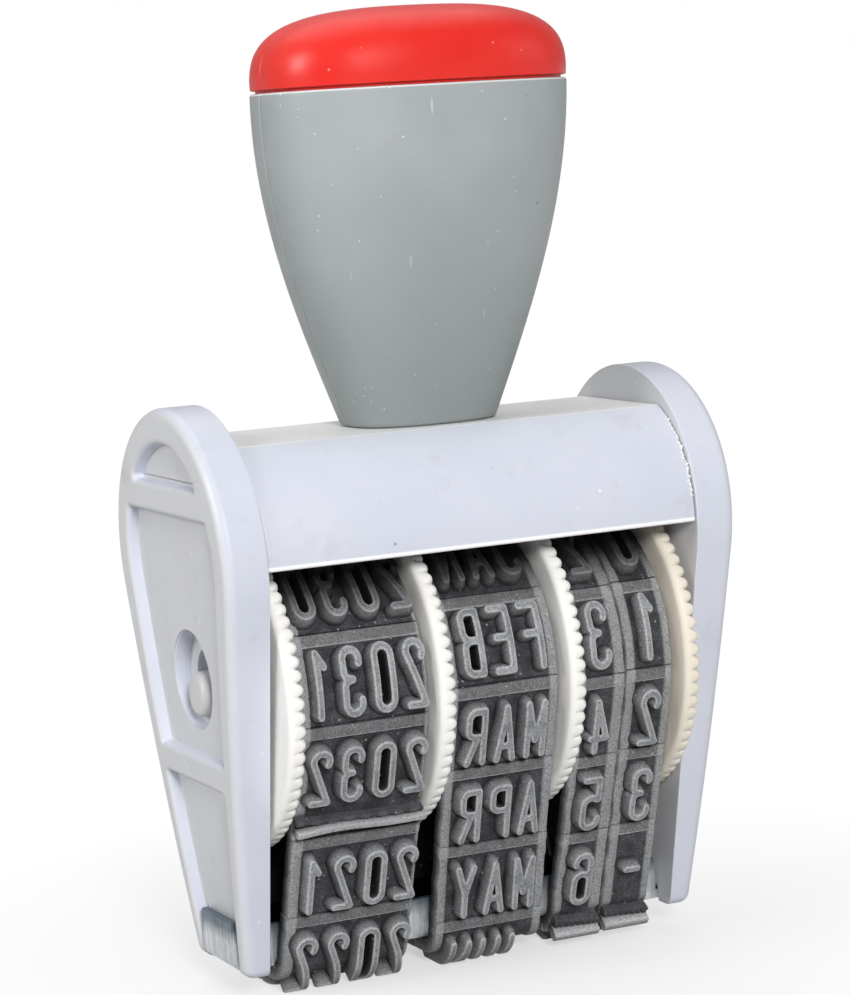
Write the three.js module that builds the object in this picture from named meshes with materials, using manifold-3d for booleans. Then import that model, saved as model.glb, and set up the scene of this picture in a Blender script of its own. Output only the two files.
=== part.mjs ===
// Rubber date stamp: four printing belts on toothed thumb wheels, in a plastic frame with a grip.
// Millimetres. +X runs along the axle, -Y is the front, +Z is up, and Z = 0 is the printing plane.
import * as THREE from 'three';
import { mergeVertices } from 'three/addons/utils/BufferGeometryUtils.js';
import Module from 'manifold-3d';

const wasm = await Module();
wasm.setup();

// Printing belts
const characterHeight = 5;
const reliefHeight = 1.1;
const beltThickness = 1.0;
const beltInnerRadius = 8.7;
const yearBeltWidth = 9.9;
const monthBeltWidth = 8.7;
const digitBeltWidth = 3.8;
const rowCount = 12;
const spliceGap = 2.4;
const spliceRidgeWidth = 0.7;
const characterWidth = 2.1;
const characterPitch = 2.4;
const beltEdgeMargin = 0.35;
const digitOffset = -0.35;

// How far each belt has been turned past the place where its row is centred on the anvil
const yearBeltShift = -1.86;
const monthBeltShift = 1.87;
const unitsBeltShift = -1.09;
const tensBeltShift = -0.96;

// Wheels and axle
const axleHeight = 22.1;
const axleRadius = 1.65;
const axleEndRound = 0.55;
const axleRunningGap = 0.08;
const hubRadius = 2.9;
const discThickness = 1.35;
const toothCount = 72;
const toothDepth = 0.7;
const toothEdgeRound = 0.3;
const toothRootClearance = 0.2;
const wheelFloor = 1.2;
const drumWall = 1.3;
const drumGap = 0.25;
const sideGap = 0.15;

// Anvil, a bent steel strip
const stripThickness = 0.6;
const anvilHalfDepth = 3.0;
const anvilCornerRadius = 0.8;
const anvilFlangeHeight = 3.1;
const anvilBeltGap = 0.15;
const tabHalfWidth = 2.95;
const tabHeight = 3.6;
const tabGap = 0.1;

// Cheeks, the two end plates
const cheekTopRadius = 11.0;
const archRise = 9.75;
const cheekFootHeight = 2.0;
const cheekFootHalfDepth = 5.0;
const cheekFootRound = 0.8;
const cheekFootThickness = 1.85;
const cheekTopThickness = 3.26;
const cheekBow = 0.45;
const cheekLean = 1.05;
const cheekWheelGap = 0.15;
const cheekEdgeRound = 0.65;
const rimWidth = 2.5;
const rimFootWidth = 1.7;
const recessDepth = 0.85;
const ribHeight = 2.1;
const upperRibAboveAxle = 13.15;
const lowerRibBelowAxle = 6.35;
const windowRadius = 3.6;
const windowRise = 1.1;
const lipThickness = 1.0;
const lipBore = 2.2;

// Shell, the roof over the wheels
const shellTopDrop = 2.7;
const shellFlatHalfDepth = 5.9;
const shellSetback = 0.16;
const shellWall = 1.6;
const shellEndGap = 0.15;

// Grip and cap
const gripHeight = 24.4;
const gripBaseHalfWidth = 5.6;
const gripBaseHalfDepth = 4.7;
const gripTopHalfWidth = 11.75;
const gripTopHalfDepth = 7.8;
const gripWall = 1.8;
const gripFloor = 9.0;
const gripLean = 2;
const capHeight = 5.6;
const capWall = 1.7;
const capSeam = 0.2;
const plugDepth = 3.0;
const plugWall = 1.3;
const plugGap = 0.2;

// Screw that holds the grip, with its washer
const screwRadius = 1.5;
const screwHeadRadius = 2.8;
const screwHeadHeight = 1.9;
const screwLength = 9.5;
const screwTipLength = 1.6;
const screwTipRadius = 0.3;
const screwGap = 0.2;
const washerRadius = 4.2;
const washerThickness = 0.8;

// Numbers of facets, and the overrun that cuts share
const arcSteps = 18;
const cornerSteps = 4;
const sideSteps = 4;
const roundSteps = 24;
const smallRoundSteps = 18;
const gripSteps = 28;
const gripLevels = 6;
const capLevels = 5;
const gripSquareness = 2.5;
const capSquareness = 3;
const crownEndShare = 0.94;
const overrun = 1;

// Sizes that follow from the ones above
const leanSlope = Math.tan(THREE.MathUtils.degToRad(cheekLean));
const gripLeanSlope = Math.tan(THREE.MathUtils.degToRad(gripLean));
const drumRadius = beltInnerRadius - drumGap;
const toothRootRadius = beltInnerRadius + beltThickness + reliefHeight + toothRootClearance;
const toothTipRadius = toothRootRadius + toothDepth;
const beltInnerFloor = reliefHeight + beltThickness;
const anvilFloor = beltInnerFloor + anvilBeltGap;
const stackLength = 4 * discThickness + yearBeltWidth + monthBeltWidth + 2 * digitBeltWidth + 7 * sideGap;
const archHeight = axleHeight + archRise;
const cheekTopHeight = archHeight + cheekTopRadius;
const shellTopHeight = cheekTopHeight - shellTopDrop;
const shellHalfDepth = cheekTopRadius - shellSetback;
const gripTopHeight = shellTopHeight + gripHeight;

// Solids

function toSolid(geometry) {
  geometry.deleteAttribute('normal');
  geometry.deleteAttribute('uv');
  const merged = mergeVertices(geometry);
  const corners = merged.index.array;
  const triangles = [];
  for (let corner = 0; corner < corners.length; corner += 3) {
    const [a, b, c] = corners.slice(corner, corner + 3);
    if (a !== b && b !== c && c !== a) {
      triangles.push(a, b, c);
    }
  }
  const vertProperties = new Float32Array(merged.attributes.position.array);
  const triVerts = new Uint32Array(triangles);
  return new wasm.Manifold(new wasm.Mesh({ numProp: 3, vertProperties, triVerts }));
}

function toMesh(name, solid, finish) {
  const { vertProperties, triVerts } = solid.getMesh();
  const geometry = new THREE.BufferGeometry();
  geometry.setAttribute('position', new THREE.BufferAttribute(vertProperties, 3));
  geometry.setIndex(new THREE.BufferAttribute(triVerts, 1));
  const faceted = geometry.toNonIndexed();
  faceted.computeVertexNormals();
  const mesh = new THREE.Mesh(faceted, new THREE.MeshStandardMaterial(finish));
  mesh.name = name;
  return mesh;
}

// Closed body through rings of [x, y, z] points, each ring anticlockwise about the way the rings go.
// Its ends are fans round their middles, or level strips where the rings mirror themselves.
function loft(rings, levelEnds = false) {
  const count = rings[0].length;
  const points = rings.flat();
  const index = [];
  for (let ring = 0; ring + 1 < rings.length; ring += 1) {
    for (let step = 0; step < count; step += 1) {
      const a = ring * count + step;
      const b = ring * count + (step + 1) % count;
      index.push(a, b, b + count, a, b + count, a + count);
    }
  }
  const addStrips = (ring, outward) => {
    for (let step = 0; step < count / 2; step += 1) {
      const a = ring * count + step;
      const b = ring * count + (count - step) % count;
      const c = ring * count + count - step - 1;
      index.push(...(outward ? [a, a + 1, c, a, c, b] : [c, a + 1, a, b, c, a]));
    }
  };
  const addFan = (ring, outward) => {
    const centre = new THREE.Vector3();
    for (const point of rings[ring]) {
      centre.add(new THREE.Vector3(...point).divideScalar(count));
    }
    const hub = points.push(centre.toArray()) - 1;
    for (let step = 0; step < count; step += 1) {
      const a = ring * count + step;
      const b = ring * count + (step + 1) % count;
      index.push(...(outward ? [a, b, hub] : [b, a, hub]));
    }
  };
  const addEnd = levelEnds ? addStrips : addFan;
  addEnd(0, false);
  addEnd(rings.length - 1, true);
  const geometry = new THREE.BufferGeometry();
  geometry.setAttribute('position', new THREE.Float32BufferAttribute(points.flat(), 3));
  geometry.setIndex(index);
  return toSolid(geometry);
}

// Outline of [y, z] points pushed along X from one place to another
function pushAlongX(outline, from, to) {
  const shape = new THREE.Shape(outline.map(([y, z]) => new THREE.Vector2(y, z)));
  const geometry = new THREE.ExtrudeGeometry(shape, { depth: to - from, bevelEnabled: false });
  const shapeToModel = new THREE.Matrix4().makeBasis(
    new THREE.Vector3(0, 1, 0),
    new THREE.Vector3(0, 0, 1),
    new THREE.Vector3(1, 0, 0),
  );
  geometry.applyMatrix4(shapeToModel).translate(from, 0, 0);
  return toSolid(geometry);
}

function box(lowX, highX, lowY, highY, lowZ, highZ) {
  const geometry = new THREE.BoxGeometry(highX - lowX, highY - lowY, highZ - lowZ);
  geometry.translate((lowX + highX) / 2, (lowY + highY) / 2, (lowZ + highZ) / 2);
  return toSolid(geometry);
}

// Body turned about a line along X at height z, from [radius, x] points that start and end on it
function turnAboutX(profile, height, steps) {
  const points = profile.map(([radius, x]) => new THREE.Vector2(radius, x));
  const geometry = new THREE.LatheGeometry(points, steps);
  geometry.rotateZ(-Math.PI / 2).translate(0, 0, height);
  return toSolid(geometry);
}

// The same about the Z axis, from [radius, z] points
function turnAboutZ(profile, steps) {
  const points = profile.map(([radius, z]) => new THREE.Vector2(radius, z));
  return toSolid(new THREE.LatheGeometry(points, steps).rotateX(Math.PI / 2));
}

function rod(radius, from, to, height, steps) {
  return turnAboutX([[0, from], [radius, from], [radius, to], [0, to]], height, steps);
}

// Finishes

const framePlastic = { color: 0xcfd3e2, roughness: 0.42, metalness: 0 };
const gripPlastic = { color: 0xa0a6a6, roughness: 0.5, metalness: 0 };
const capPlastic = { color: 0xf0443c, roughness: 0.28, metalness: 0 };
const whitePlastic = { color: 0xf6f5f1, roughness: 0.4, metalness: 0 };
const ivoryPlastic = { color: 0xfaf4e6, roughness: 0.4, metalness: 0 };
const rubber = { color: 0x3a3b3c, roughness: 0.85, metalness: 0 };
const brightSteel = { color: 0xc4c8cc, roughness: 0.3, metalness: 1 };

// Cheeks

function innerFace(height) {
  const lowestTooth = axleHeight - toothTipRadius;
  return stackLength / 2 + cheekWheelGap + (height - lowestTooth) * leanSlope;
}

// The outer face bows out between the foot and the top
function outerFace(height) {
  const share = (height - cheekFootHeight) / (cheekTopHeight - cheekFootHeight);
  const bow = 4 * cheekBow * share * (1 - share);
  return innerFace(height) + THREE.MathUtils.lerp(cheekFootThickness, cheekTopThickness, share) + bow;
}

// Drop outline of [y, z] points: a rounded foot, straight tapering sides and an arch. It starts at
// the middle of the foot and mirrors itself.
function dropOutline(topRadius, footHalfDepth, footHeight, footRound) {
  const footCentreY = footHalfDepth - footRound;
  const rise = archHeight - footHeight - footRound;
  const span = Math.hypot(footCentreY, rise);
  const taper = Math.asin((topRadius - footRound) / span) - Math.atan2(footCentreY, rise);
  const half = [[0, footHeight]];
  const addArc = (centreY, centreZ, radius, start, end, steps) => {
    for (let step = 0; step <= steps; step += 1) {
      const angle = THREE.MathUtils.lerp(start, end, step / steps);
      half.push([centreY + radius * Math.cos(angle), centreZ + radius * Math.sin(angle)]);
    }
  };
  addArc(footCentreY, footHeight + footRound, footRound, -Math.PI / 2, -taper, cornerSteps);
  const [sideY, sideZ] = half.at(-1);
  const endY = topRadius * Math.cos(taper);
  const endZ = archHeight - topRadius * Math.sin(taper);
  for (let step = 1; step < sideSteps; step += 1) {
    const share = step / sideSteps;
    half.push([THREE.MathUtils.lerp(sideY, endY, share), THREE.MathUtils.lerp(sideZ, endZ, share)]);
  }
  addArc(0, archHeight, topRadius, -taper, Math.PI / 2, arcSteps / 2);
  const mirrored = half.slice(1, -1).reverse().map(([y, z]) => [-y, z]);
  return [...half, ...mirrored];
}

function plateRing(inset, depth) {
  const outline = dropOutline(
    cheekTopRadius - inset,
    cheekFootHalfDepth - inset,
    cheekFootHeight + inset,
    cheekFootRound - inset,
  );
  return outline.map(([y, z]) => [depth(z), y, z]);
}

function cheekRecess() {
  const outline = dropOutline(
    cheekTopRadius - rimWidth,
    cheekFootHalfDepth - rimFootWidth,
    cheekFootHeight - cheekFootRound,
    cheekFootRound,
  );
  const floor = outline.map(([y, z]) => [outerFace(z) - recessDepth, y, z]);
  const mouth = outline.map(([y, z]) => [outerFace(z) + overrun, y, z]);
  const low = innerFace(cheekFootHeight);
  const high = outerFace(cheekTopHeight) + overrun;
  const upperRib = axleHeight + upperRibAboveAxle;
  const lowerRib = axleHeight - lowerRibBelowAxle;
  return loft([floor, mouth], true)
    .subtract(box(low, high, -cheekTopRadius, cheekTopRadius, upperRib, upperRib + ribHeight))
    .subtract(box(low, high, -cheekTopRadius, cheekTopRadius, lowerRib, lowerRib + ribHeight));
}

// Window over the axle end: a round well, and behind it a lip with a keyhole that seats the axle
function axleWindow() {
  const low = innerFace(axleHeight) - overrun;
  const high = outerFace(axleHeight) + overrun;
  const lip = innerFace(axleHeight) + lipThickness;
  const windowHeight = axleHeight + windowRise;
  const seatRadius = axleRadius + axleRunningGap;
  return rod(windowRadius, lip, high, windowHeight, roundSteps)
    .add(rod(lipBore, low, high, windowHeight, smallRoundSteps))
    .add(rod(seatRadius, low, high, axleHeight, smallRoundSteps));
}

function rightCheek() {
  const round = cheekEdgeRound;
  const corner = round * (1 - Math.SQRT1_2);
  const plate = loft([
    plateRing(0, innerFace),
    plateRing(0, (z) => outerFace(z) - round),
    plateRing(corner, (z) => outerFace(z) - corner),
    plateRing(round, outerFace),
  ], true);
  const tabSlot = box(
    innerFace(cheekFootHeight) - overrun,
    outerFace(cheekFootHeight) + overrun,
    -tabHalfWidth - anvilBeltGap,
    tabHalfWidth + anvilBeltGap,
    -overrun,
    anvilFloor + stripThickness + tabGap + anvilBeltGap,
  );
  return plate.subtract(cheekRecess()).subtract(axleWindow()).subtract(tabSlot);
}

function mirroredAcrossX(solid) {
  const { vertProperties, triVerts } = solid.getMesh();
  const positions = vertProperties.map((value, place) => (place % 3 === 0 ? -value : value));
  const triangles = new Uint32Array(triVerts).reverse();
  return new wasm.Manifold(new wasm.Mesh({ numProp: 3, vertProperties: positions, triVerts: triangles }));
}

// Shell

// One side of the roof's section, from the flat top's edge down the curved panel, as [y, z] points
function panelCurve(flatHalfDepth, halfDepth, topHeight, footHeight) {
  const across = halfDepth - flatHalfDepth;
  const down = topHeight - footHeight;
  const radius = (across ** 2 + down ** 2) / (2 * across);
  const sweep = Math.asin(down / radius);
  const curve = [];
  for (let step = 0; step <= 2 * cornerSteps; step += 1) {
    const angle = sweep * (1 - step / (2 * cornerSteps));
    curve.push([halfDepth - radius * (1 - Math.cos(angle)), footHeight + radius * Math.sin(angle)]);
  }
  return curve;
}

function mirroredSection(side) {
  const front = side.map(([y, z]) => [-y, z]);
  return [...front.reverse(), ...side];
}

function topShell() {
  const outer = mirroredSection(
    panelCurve(shellFlatHalfDepth, shellHalfDepth, shellTopHeight, archHeight),
  );
  const inner = mirroredSection(
    panelCurve(
      shellFlatHalfDepth - shellWall / 2,
      shellHalfDepth - shellWall,
      shellTopHeight - shellWall,
      archHeight - overrun,
    ),
  );
  const endRing = (outline, side, extra) =>
    outline.map(([y, z]) => [side * (innerFace(z) - shellEndGap + extra), y, z]);
  const body = loft([endRing(outer, -1, 0).reverse(), endRing(outer, 1, 0).reverse()]);
  const room = loft([endRing(inner, -1, overrun).reverse(), endRing(inner, 1, overrun).reverse()]);
  const screwHole = turnAboutZ(
    [
      [0, archHeight],
      [screwRadius + screwGap, archHeight],
      [screwRadius + screwGap, shellTopHeight + overrun],
      [0, shellTopHeight + overrun],
    ],
    smallRoundSteps,
  );
  return body.subtract(room).subtract(screwHole);
}

// Grip and cap

// The grip and its cap lean a little to the right of upright
function roundedOval(halfWidth, halfDepth, height) {
  const drift = (height - shellTopHeight) * gripLeanSlope;
  const ring = [];
  const power = 2 / gripSquareness;
  for (let step = 0; step < gripSteps; step += 1) {
    const angle = (2 * Math.PI * step) / gripSteps;
    const across = Math.sign(Math.cos(angle)) * Math.abs(Math.cos(angle)) ** power;
    const along = Math.sign(Math.sin(angle)) * Math.abs(Math.sin(angle)) ** power;
    ring.push([drift + halfWidth * across, halfDepth * along, height]);
  }
  return ring;
}

// The grip flares as a quarter sine, quickly above the frame and hardly at all under the cap
function gripRing(share, inset) {
  const flare = Math.sin((Math.PI / 2) * share);
  return roundedOval(
    THREE.MathUtils.lerp(gripBaseHalfWidth, gripTopHalfWidth, flare) - inset,
    THREE.MathUtils.lerp(gripBaseHalfDepth, gripTopHalfDepth, flare) - inset,
    shellTopHeight + gripHeight * share,
  );
}

function handleGrip() {
  const outer = [];
  const inner = [];
  for (let level = 0; level <= gripLevels; level += 1) {
    const share = level / gripLevels;
    outer.push(gripRing(share, 0));
    inner.push(gripRing(THREE.MathUtils.lerp(gripFloor / gripHeight, 1, share), gripWall));
  }
  const top = inner[gripLevels];
  inner.push(top.map(([x, y, z]) => [x, y, z + overrun]));
  const pilot = turnAboutZ(
    [
      [0, shellTopHeight - overrun],
      [screwRadius + screwGap, shellTopHeight - overrun],
      [screwRadius + screwGap, shellTopHeight + gripFloor + overrun],
      [0, shellTopHeight + gripFloor + overrun],
    ],
    smallRoundSteps,
  );
  return loft(outer).subtract(loft(inner)).subtract(pilot);
}

// The cap's crown closes as a superellipse, so its top is nearly flat and its edge is round
function crownRings(halfWidth, halfDepth, foot, height) {
  const rings = [];
  for (let level = 0; level <= capLevels; level += 1) {
    const angle = (Math.PI / 2) * crownEndShare * (level / capLevels);
    const width = Math.cos(angle) ** (2 / capSquareness);
    const rise = Math.sin(angle) ** (2 / capSquareness);
    rings.push(roundedOval(halfWidth * width, halfDepth * width, foot + height * rise));
  }
  return rings;
}

function handleCap() {
  const foot = gripTopHeight + capSeam;
  const crown = loft(crownRings(gripTopHalfWidth, gripTopHalfDepth, foot, capHeight));
  const inset = gripWall + plugGap;
  const plugRing = (extra, height) =>
    roundedOval(gripTopHalfWidth - inset - extra, gripTopHalfDepth - inset - extra, height);
  const plugFoot = gripTopHeight - plugDepth;
  const plug = loft([plugRing(plugDepth / gripHeight, plugFoot), plugRing(0, foot + capWall)]);
  const room = loft([
    plugRing(plugWall, plugFoot - overrun),
    plugRing(plugWall, foot + capHeight - 2 * capWall),
    plugRing(plugWall + capWall, foot + capHeight - capWall),
  ]);
  return crown.add(plug).subtract(room);
}

// Screw and washer

const washerTop = shellTopHeight - shellWall;
const headTop = washerTop - washerThickness;

function handleScrew() {
  const crown = screwHeadHeight / 2;
  const tip = headTop + screwLength;
  return turnAboutZ(
    [
      [0, headTop - screwHeadHeight],
      [screwHeadRadius - crown, headTop - screwHeadHeight],
      [screwHeadRadius, headTop - crown],
      [screwHeadRadius, headTop],
      [screwRadius, headTop],
      [screwRadius, tip - screwTipLength],
      [screwTipRadius, tip],
      [0, tip],
    ],
    smallRoundSteps,
  );
}

function handleWasher() {
  return turnAboutZ(
    [
      [screwRadius + screwGap, headTop],
      [washerRadius, headTop],
      [washerRadius, washerTop],
      [screwRadius + screwGap, washerTop],
      [screwRadius + screwGap, headTop],
    ],
    smallRoundSteps,
  );
}

// Axle

function axle() {
  const end = outerFace(axleHeight) - recessDepth;
  const round = axleEndRound;
  return turnAboutX(
    [
      [0, -end],
      [axleRadius - round, -end],
      [axleRadius, round - end],
      [axleRadius, end - round],
      [axleRadius - round, end],
      [0, end],
    ],
    axleHeight,
    smallRoundSteps,
  );
}

// Wheels

// Rounded teeth round the rim, three points to a tooth; the edge ones stand back from the tips
function toothRing(x, tipRadius) {
  const ring = [];
  const pitch = (2 * Math.PI) / toothCount;
  const tooth = [[-0.5, toothRootRadius], [-0.18, tipRadius], [0.18, tipRadius]];
  for (let place = 0; place < toothCount; place += 1) {
    for (const [offsetShare, radius] of tooth) {
      const angle = (place + offsetShare) * pitch;
      ring.push([x, radius * Math.cos(angle), axleHeight + radius * Math.sin(angle)]);
    }
  }
  return ring;
}

// The disc starts at discStart, and its drum runs to drumEnd on either side of it
function wheel(discStart, drumEnd) {
  const discEnd = discStart + discThickness;
  const disc = loft([
    toothRing(discStart, toothTipRadius - toothEdgeRound),
    toothRing((discStart + discEnd) / 2, toothTipRadius),
    toothRing(discEnd, toothTipRadius - toothEdgeRound),
  ]);
  const outward = drumEnd > discEnd ? -1 : 1;
  const openFace = outward < 0 ? discStart : discEnd;
  const inside = openFace - outward * discThickness / 2;
  const floor = drumEnd + outward * wheelFloor;
  const past = openFace + outward * overrun;
  const ordered = (a, b) => [Math.min(a, b), Math.max(a, b)];
  const drum = rod(drumRadius, ...ordered(inside, drumEnd), axleHeight, roundSteps);
  const pocket = rod(drumRadius - drumWall, ...ordered(floor, past), axleHeight, roundSteps);
  const hub = rod(hubRadius, ...ordered(floor - outward * wheelFloor, openFace), axleHeight, smallRoundSteps);
  const bore = rod(
    axleRadius + axleRunningGap,
    Math.min(drumEnd, discStart) - overrun,
    Math.max(drumEnd, discEnd) + overrun,
    axleHeight,
    smallRoundSteps,
  );
  return disc.add(drum).subtract(pocket).add(hub).subtract(bore);
}

// Belts

// The inside of a belt is a loop round the drum and the two lower corners of the anvil. It is
// followed by its neutral length from the bottom, up the front, over the drum and down the back.
const footRound = anvilCornerRadius + anvilBeltGap;
const footHalfFlat = anvilHalfDepth - anvilCornerRadius;
const footCentreHeight = beltInnerFloor + footRound;
const footToAxle = Math.hypot(footHalfFlat, axleHeight - footCentreHeight);
const runSlope = Math.asin((beltInnerRadius - footRound) / footToAxle)
  - Math.atan2(footHalfFlat, axleHeight - footCentreHeight);
const neutral = beltThickness / 2;
const footArcLength = (footRound + neutral) * (Math.PI / 2 - runSlope);
const runLength = Math.sqrt(footToAxle ** 2 - (beltInnerRadius - footRound) ** 2);
const drumArcLength = (beltInnerRadius + neutral) * (Math.PI + 2 * runSlope);
const loopLength = 2 * (footHalfFlat + footArcLength + runLength) + drumArcLength;
const rowPitch = (loopLength - spliceGap) / rowCount;

// Place at a length along the loop, lifted off the inside of the belt, as [y, z]
function loopPlace(length, lift) {
  const along = THREE.MathUtils.euclideanModulo(length, loopLength);
  const back = along > loopLength / 2;
  const rest = back ? loopLength - along : along;
  const onArc = (centreY, centreZ, radius, angle) => [
    centreY + (radius + lift) * Math.cos(angle),
    centreZ + (radius + lift) * Math.sin(angle),
  ];
  const runStart = footHalfFlat + footArcLength;
  const runEnd = runStart + runLength;
  const runAngle = Math.PI + runSlope;
  let place;
  if (rest < footHalfFlat) {
    place = [-rest, beltInnerFloor - lift];
  } else if (rest < runStart) {
    const angle = 1.5 * Math.PI - (rest - footHalfFlat) / (footRound + neutral);
    place = onArc(-footHalfFlat, footCentreHeight, footRound, angle);
  } else if (rest < runEnd) {
    const [y, z] = onArc(-footHalfFlat, footCentreHeight, footRound, runAngle);
    const climbed = rest - runStart;
    place = [y - climbed * Math.sin(runSlope), z + climbed * Math.cos(runSlope)];
  } else {
    const angle = runAngle - (rest - runEnd) / (beltInnerRadius + neutral);
    place = onArc(0, axleHeight, beltInnerRadius, angle);
  }
  return back ? [-place[0], place[1]] : place;
}

// Lengths at which the loop bends, where its outline needs a point
function loopStops() {
  const stops = [];
  const addSteps = (from, length, steps) => {
    for (let step = 0; step < steps; step += 1) {
      stops.push(from + (length * step) / steps);
    }
  };
  const runStart = footHalfFlat + footArcLength;
  addSteps(footHalfFlat, footArcLength, cornerSteps);
  addSteps(runStart, runLength, 1);
  addSteps(runStart + runLength, drumArcLength, arcSteps);
  addSteps(loopLength - runStart - runLength, runLength, 1);
  addSteps(loopLength - runStart, footArcLength, cornerSteps);
  stops.push(loopLength - footHalfFlat);
  return stops;
}

// Strip of belt between two lengths and two lifts, as a closed outline of [y, z] points
function stripOutline(from, to, low, high) {
  const stops = loopStops();
  const bends = [...stops.map((stop) => stop - loopLength), ...stops, ...stops.map((stop) => stop + loopLength)];
  const lengths = [from, ...bends.filter((stop) => stop > from && stop < to), to];
  const top = lengths.map((length) => loopPlace(length, high));
  const bottom = lengths.map((length) => loopPlace(length, low));
  return [...top, ...bottom.reverse()];
}

// Raised blocks stand on the belt in rows, one block for each character. They may stand off the
// belt's middle. The splice's two ridges stand in the gap after the row with the number spliceRow.
function belt(from, width, characters, shift, spliceRow, offset = 0) {
  const stops = loopStops();
  const outer = stops.map((stop) => loopPlace(stop, beltThickness));
  const inner = stops.map((stop) => loopPlace(stop, 0));
  let body = pushAlongX(outer, from, from + width)
    .subtract(pushAlongX(inner, from - overrun, from + width + overrun));
  const addBlock = (start, end, low, high) => {
    const outline = stripOutline(start, end, beltThickness / 2, beltThickness + reliefHeight);
    body = body.add(pushAlongX(outline, low, high));
  };
  const firstCentre = from + offset + (width - (characters - 1) * characterPitch) / 2;
  for (let row = 0; row < rowCount; row += 1) {
    const centre = shift + row * rowPitch + (row > spliceRow ? spliceGap : 0);
    for (let place = 0; place < characters; place += 1) {
      const middle = firstCentre + place * characterPitch;
      const low = middle - characterWidth / 2;
      addBlock(centre - characterHeight / 2, centre + characterHeight / 2, low, low + characterWidth);
    }
  }
  const spliceCentre = shift + (spliceRow + 0.5) * rowPitch + spliceGap / 2;
  for (const side of [-1, 1]) {
    const ridge = spliceCentre + side * spliceRidgeWidth;
    addBlock(
      ridge - spliceRidgeWidth / 2,
      ridge + spliceRidgeWidth / 2,
      from + beltEdgeMargin,
      from + width - beltEdgeMargin,
    );
  }
  return body;
}

// Anvil

// Half of a U section that is bent up at the front and back, as [y, z] points
function channelOutline(halfDepth, cornerRadius, floor, top) {
  const half = [[halfDepth, top]];
  for (let step = 0; step <= cornerSteps; step += 1) {
    const angle = (Math.PI / 2) * (step / cornerSteps);
    half.push([
      halfDepth - cornerRadius * (1 - Math.cos(angle)),
      floor + cornerRadius * (1 - Math.sin(angle)),
    ]);
  }
  return [...half, ...half.map(([y, z]) => [-y, z]).reverse()].reverse();
}

function anvil() {
  const floor = anvilFloor;
  const top = floor + anvilFlangeHeight;
  const end = innerFace(floor) - cheekWheelGap;
  const innerCorner = anvilCornerRadius - stripThickness;
  const channel = pushAlongX(channelOutline(anvilHalfDepth, anvilCornerRadius, floor, top), -end, end);
  const room = pushAlongX(
    channelOutline(anvilHalfDepth - stripThickness, innerCorner, floor + stripThickness, top + overrun),
    -end - overrun,
    end + overrun,
  );
  const tabTop = floor + tabHeight;
  const tabInner = outerFace(tabTop) - recessDepth + tabGap;
  const tabOuter = tabInner + stripThickness;
  let body = channel.subtract(room);
  for (const side of [-1, 1]) {
    const section = [[end - overrun, floor], [tabOuter - anvilCornerRadius, floor]];
    for (let step = 1; step <= cornerSteps; step += 1) {
      const angle = (Math.PI / 2) * (step / cornerSteps);
      section.push([
        tabOuter - anvilCornerRadius * (1 - Math.sin(angle)),
        floor + anvilCornerRadius * (1 - Math.cos(angle)),
      ]);
    }
    section.push([tabOuter, tabTop], [tabInner, tabTop], [tabInner, floor + stripThickness]);
    section.push([end - overrun, floor + stripThickness]);
    const shape = new THREE.Shape(section.map(([x, z]) => new THREE.Vector2(x, z)));
    const geometry = new THREE.ExtrudeGeometry(shape, { depth: 2 * tabHalfWidth, bevelEnabled: false });
    geometry.rotateX(Math.PI / 2).translate(0, tabHalfWidth, 0);
    const tab = toSolid(geometry);
    body = body.add(side > 0 ? tab : mirroredAcrossX(tab));
  }
  return body;
}

// Assembly

const stamp = new THREE.Group();
const right = rightCheek();

stamp.add(toMesh('left_cheek', mirroredAcrossX(right), framePlastic));
stamp.add(toMesh('right_cheek', right, framePlastic));
stamp.add(toMesh('top_shell', topShell(), framePlastic));
stamp.add(toMesh('handle_grip', handleGrip(), gripPlastic));
stamp.add(toMesh('handle_cap', handleCap(), capPlastic));
stamp.add(toMesh('handle_screw', handleScrew(), brightSteel));
stamp.add(toMesh('handle_washer', handleWasher(), brightSteel));
stamp.add(toMesh('axle', axle(), whitePlastic));
stamp.add(toMesh('anvil', anvil(), brightSteel));

// From left to right: disc, years, disc, months, disc, units, tens, disc
const yearDisc = -stackLength / 2;
const yearBelt = yearDisc + discThickness + sideGap;
const monthDisc = yearBelt + yearBeltWidth + sideGap;
const monthBelt = monthDisc + discThickness + sideGap;
const unitsDisc = monthBelt + monthBeltWidth + sideGap;
const unitsBelt = unitsDisc + discThickness + sideGap;
const tensBelt = unitsBelt + digitBeltWidth + sideGap;
const tensDisc = tensBelt + digitBeltWidth + sideGap;

stamp.add(toMesh('year_wheel', wheel(yearDisc, yearBelt + yearBeltWidth), whitePlastic));
stamp.add(toMesh('month_wheel', wheel(monthDisc, monthBelt + monthBeltWidth), whitePlastic));
stamp.add(toMesh('units_wheel', wheel(unitsDisc, unitsBelt + digitBeltWidth), whitePlastic));
stamp.add(toMesh('tens_wheel', wheel(tensDisc, tensBelt), ivoryPlastic));
stamp.add(toMesh('year_belt', belt(yearBelt, yearBeltWidth, 4, yearBeltShift, 2), rubber));
stamp.add(toMesh('month_belt', belt(monthBelt, monthBeltWidth, 3, monthBeltShift, 5), rubber));
stamp.add(toMesh('units_belt', belt(unitsBelt, digitBeltWidth, 1, unitsBeltShift, 0, digitOffset), rubber));
stamp.add(toMesh('tens_belt', belt(tensBelt, digitBeltWidth, 1, tensBeltShift, 0, digitOffset), rubber));

export default stamp;
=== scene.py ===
"""Looks of a rubber date stamp: four printing belts on toothed thumb wheels, in a plastic frame."""

import logging
from collections.abc import Callable, Sequence
from dataclasses import dataclass, field, replace
from enum import Enum
from functools import partial
from math import asin, atan2, cos, hypot, pi, radians, sin, sqrt, tan

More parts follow.
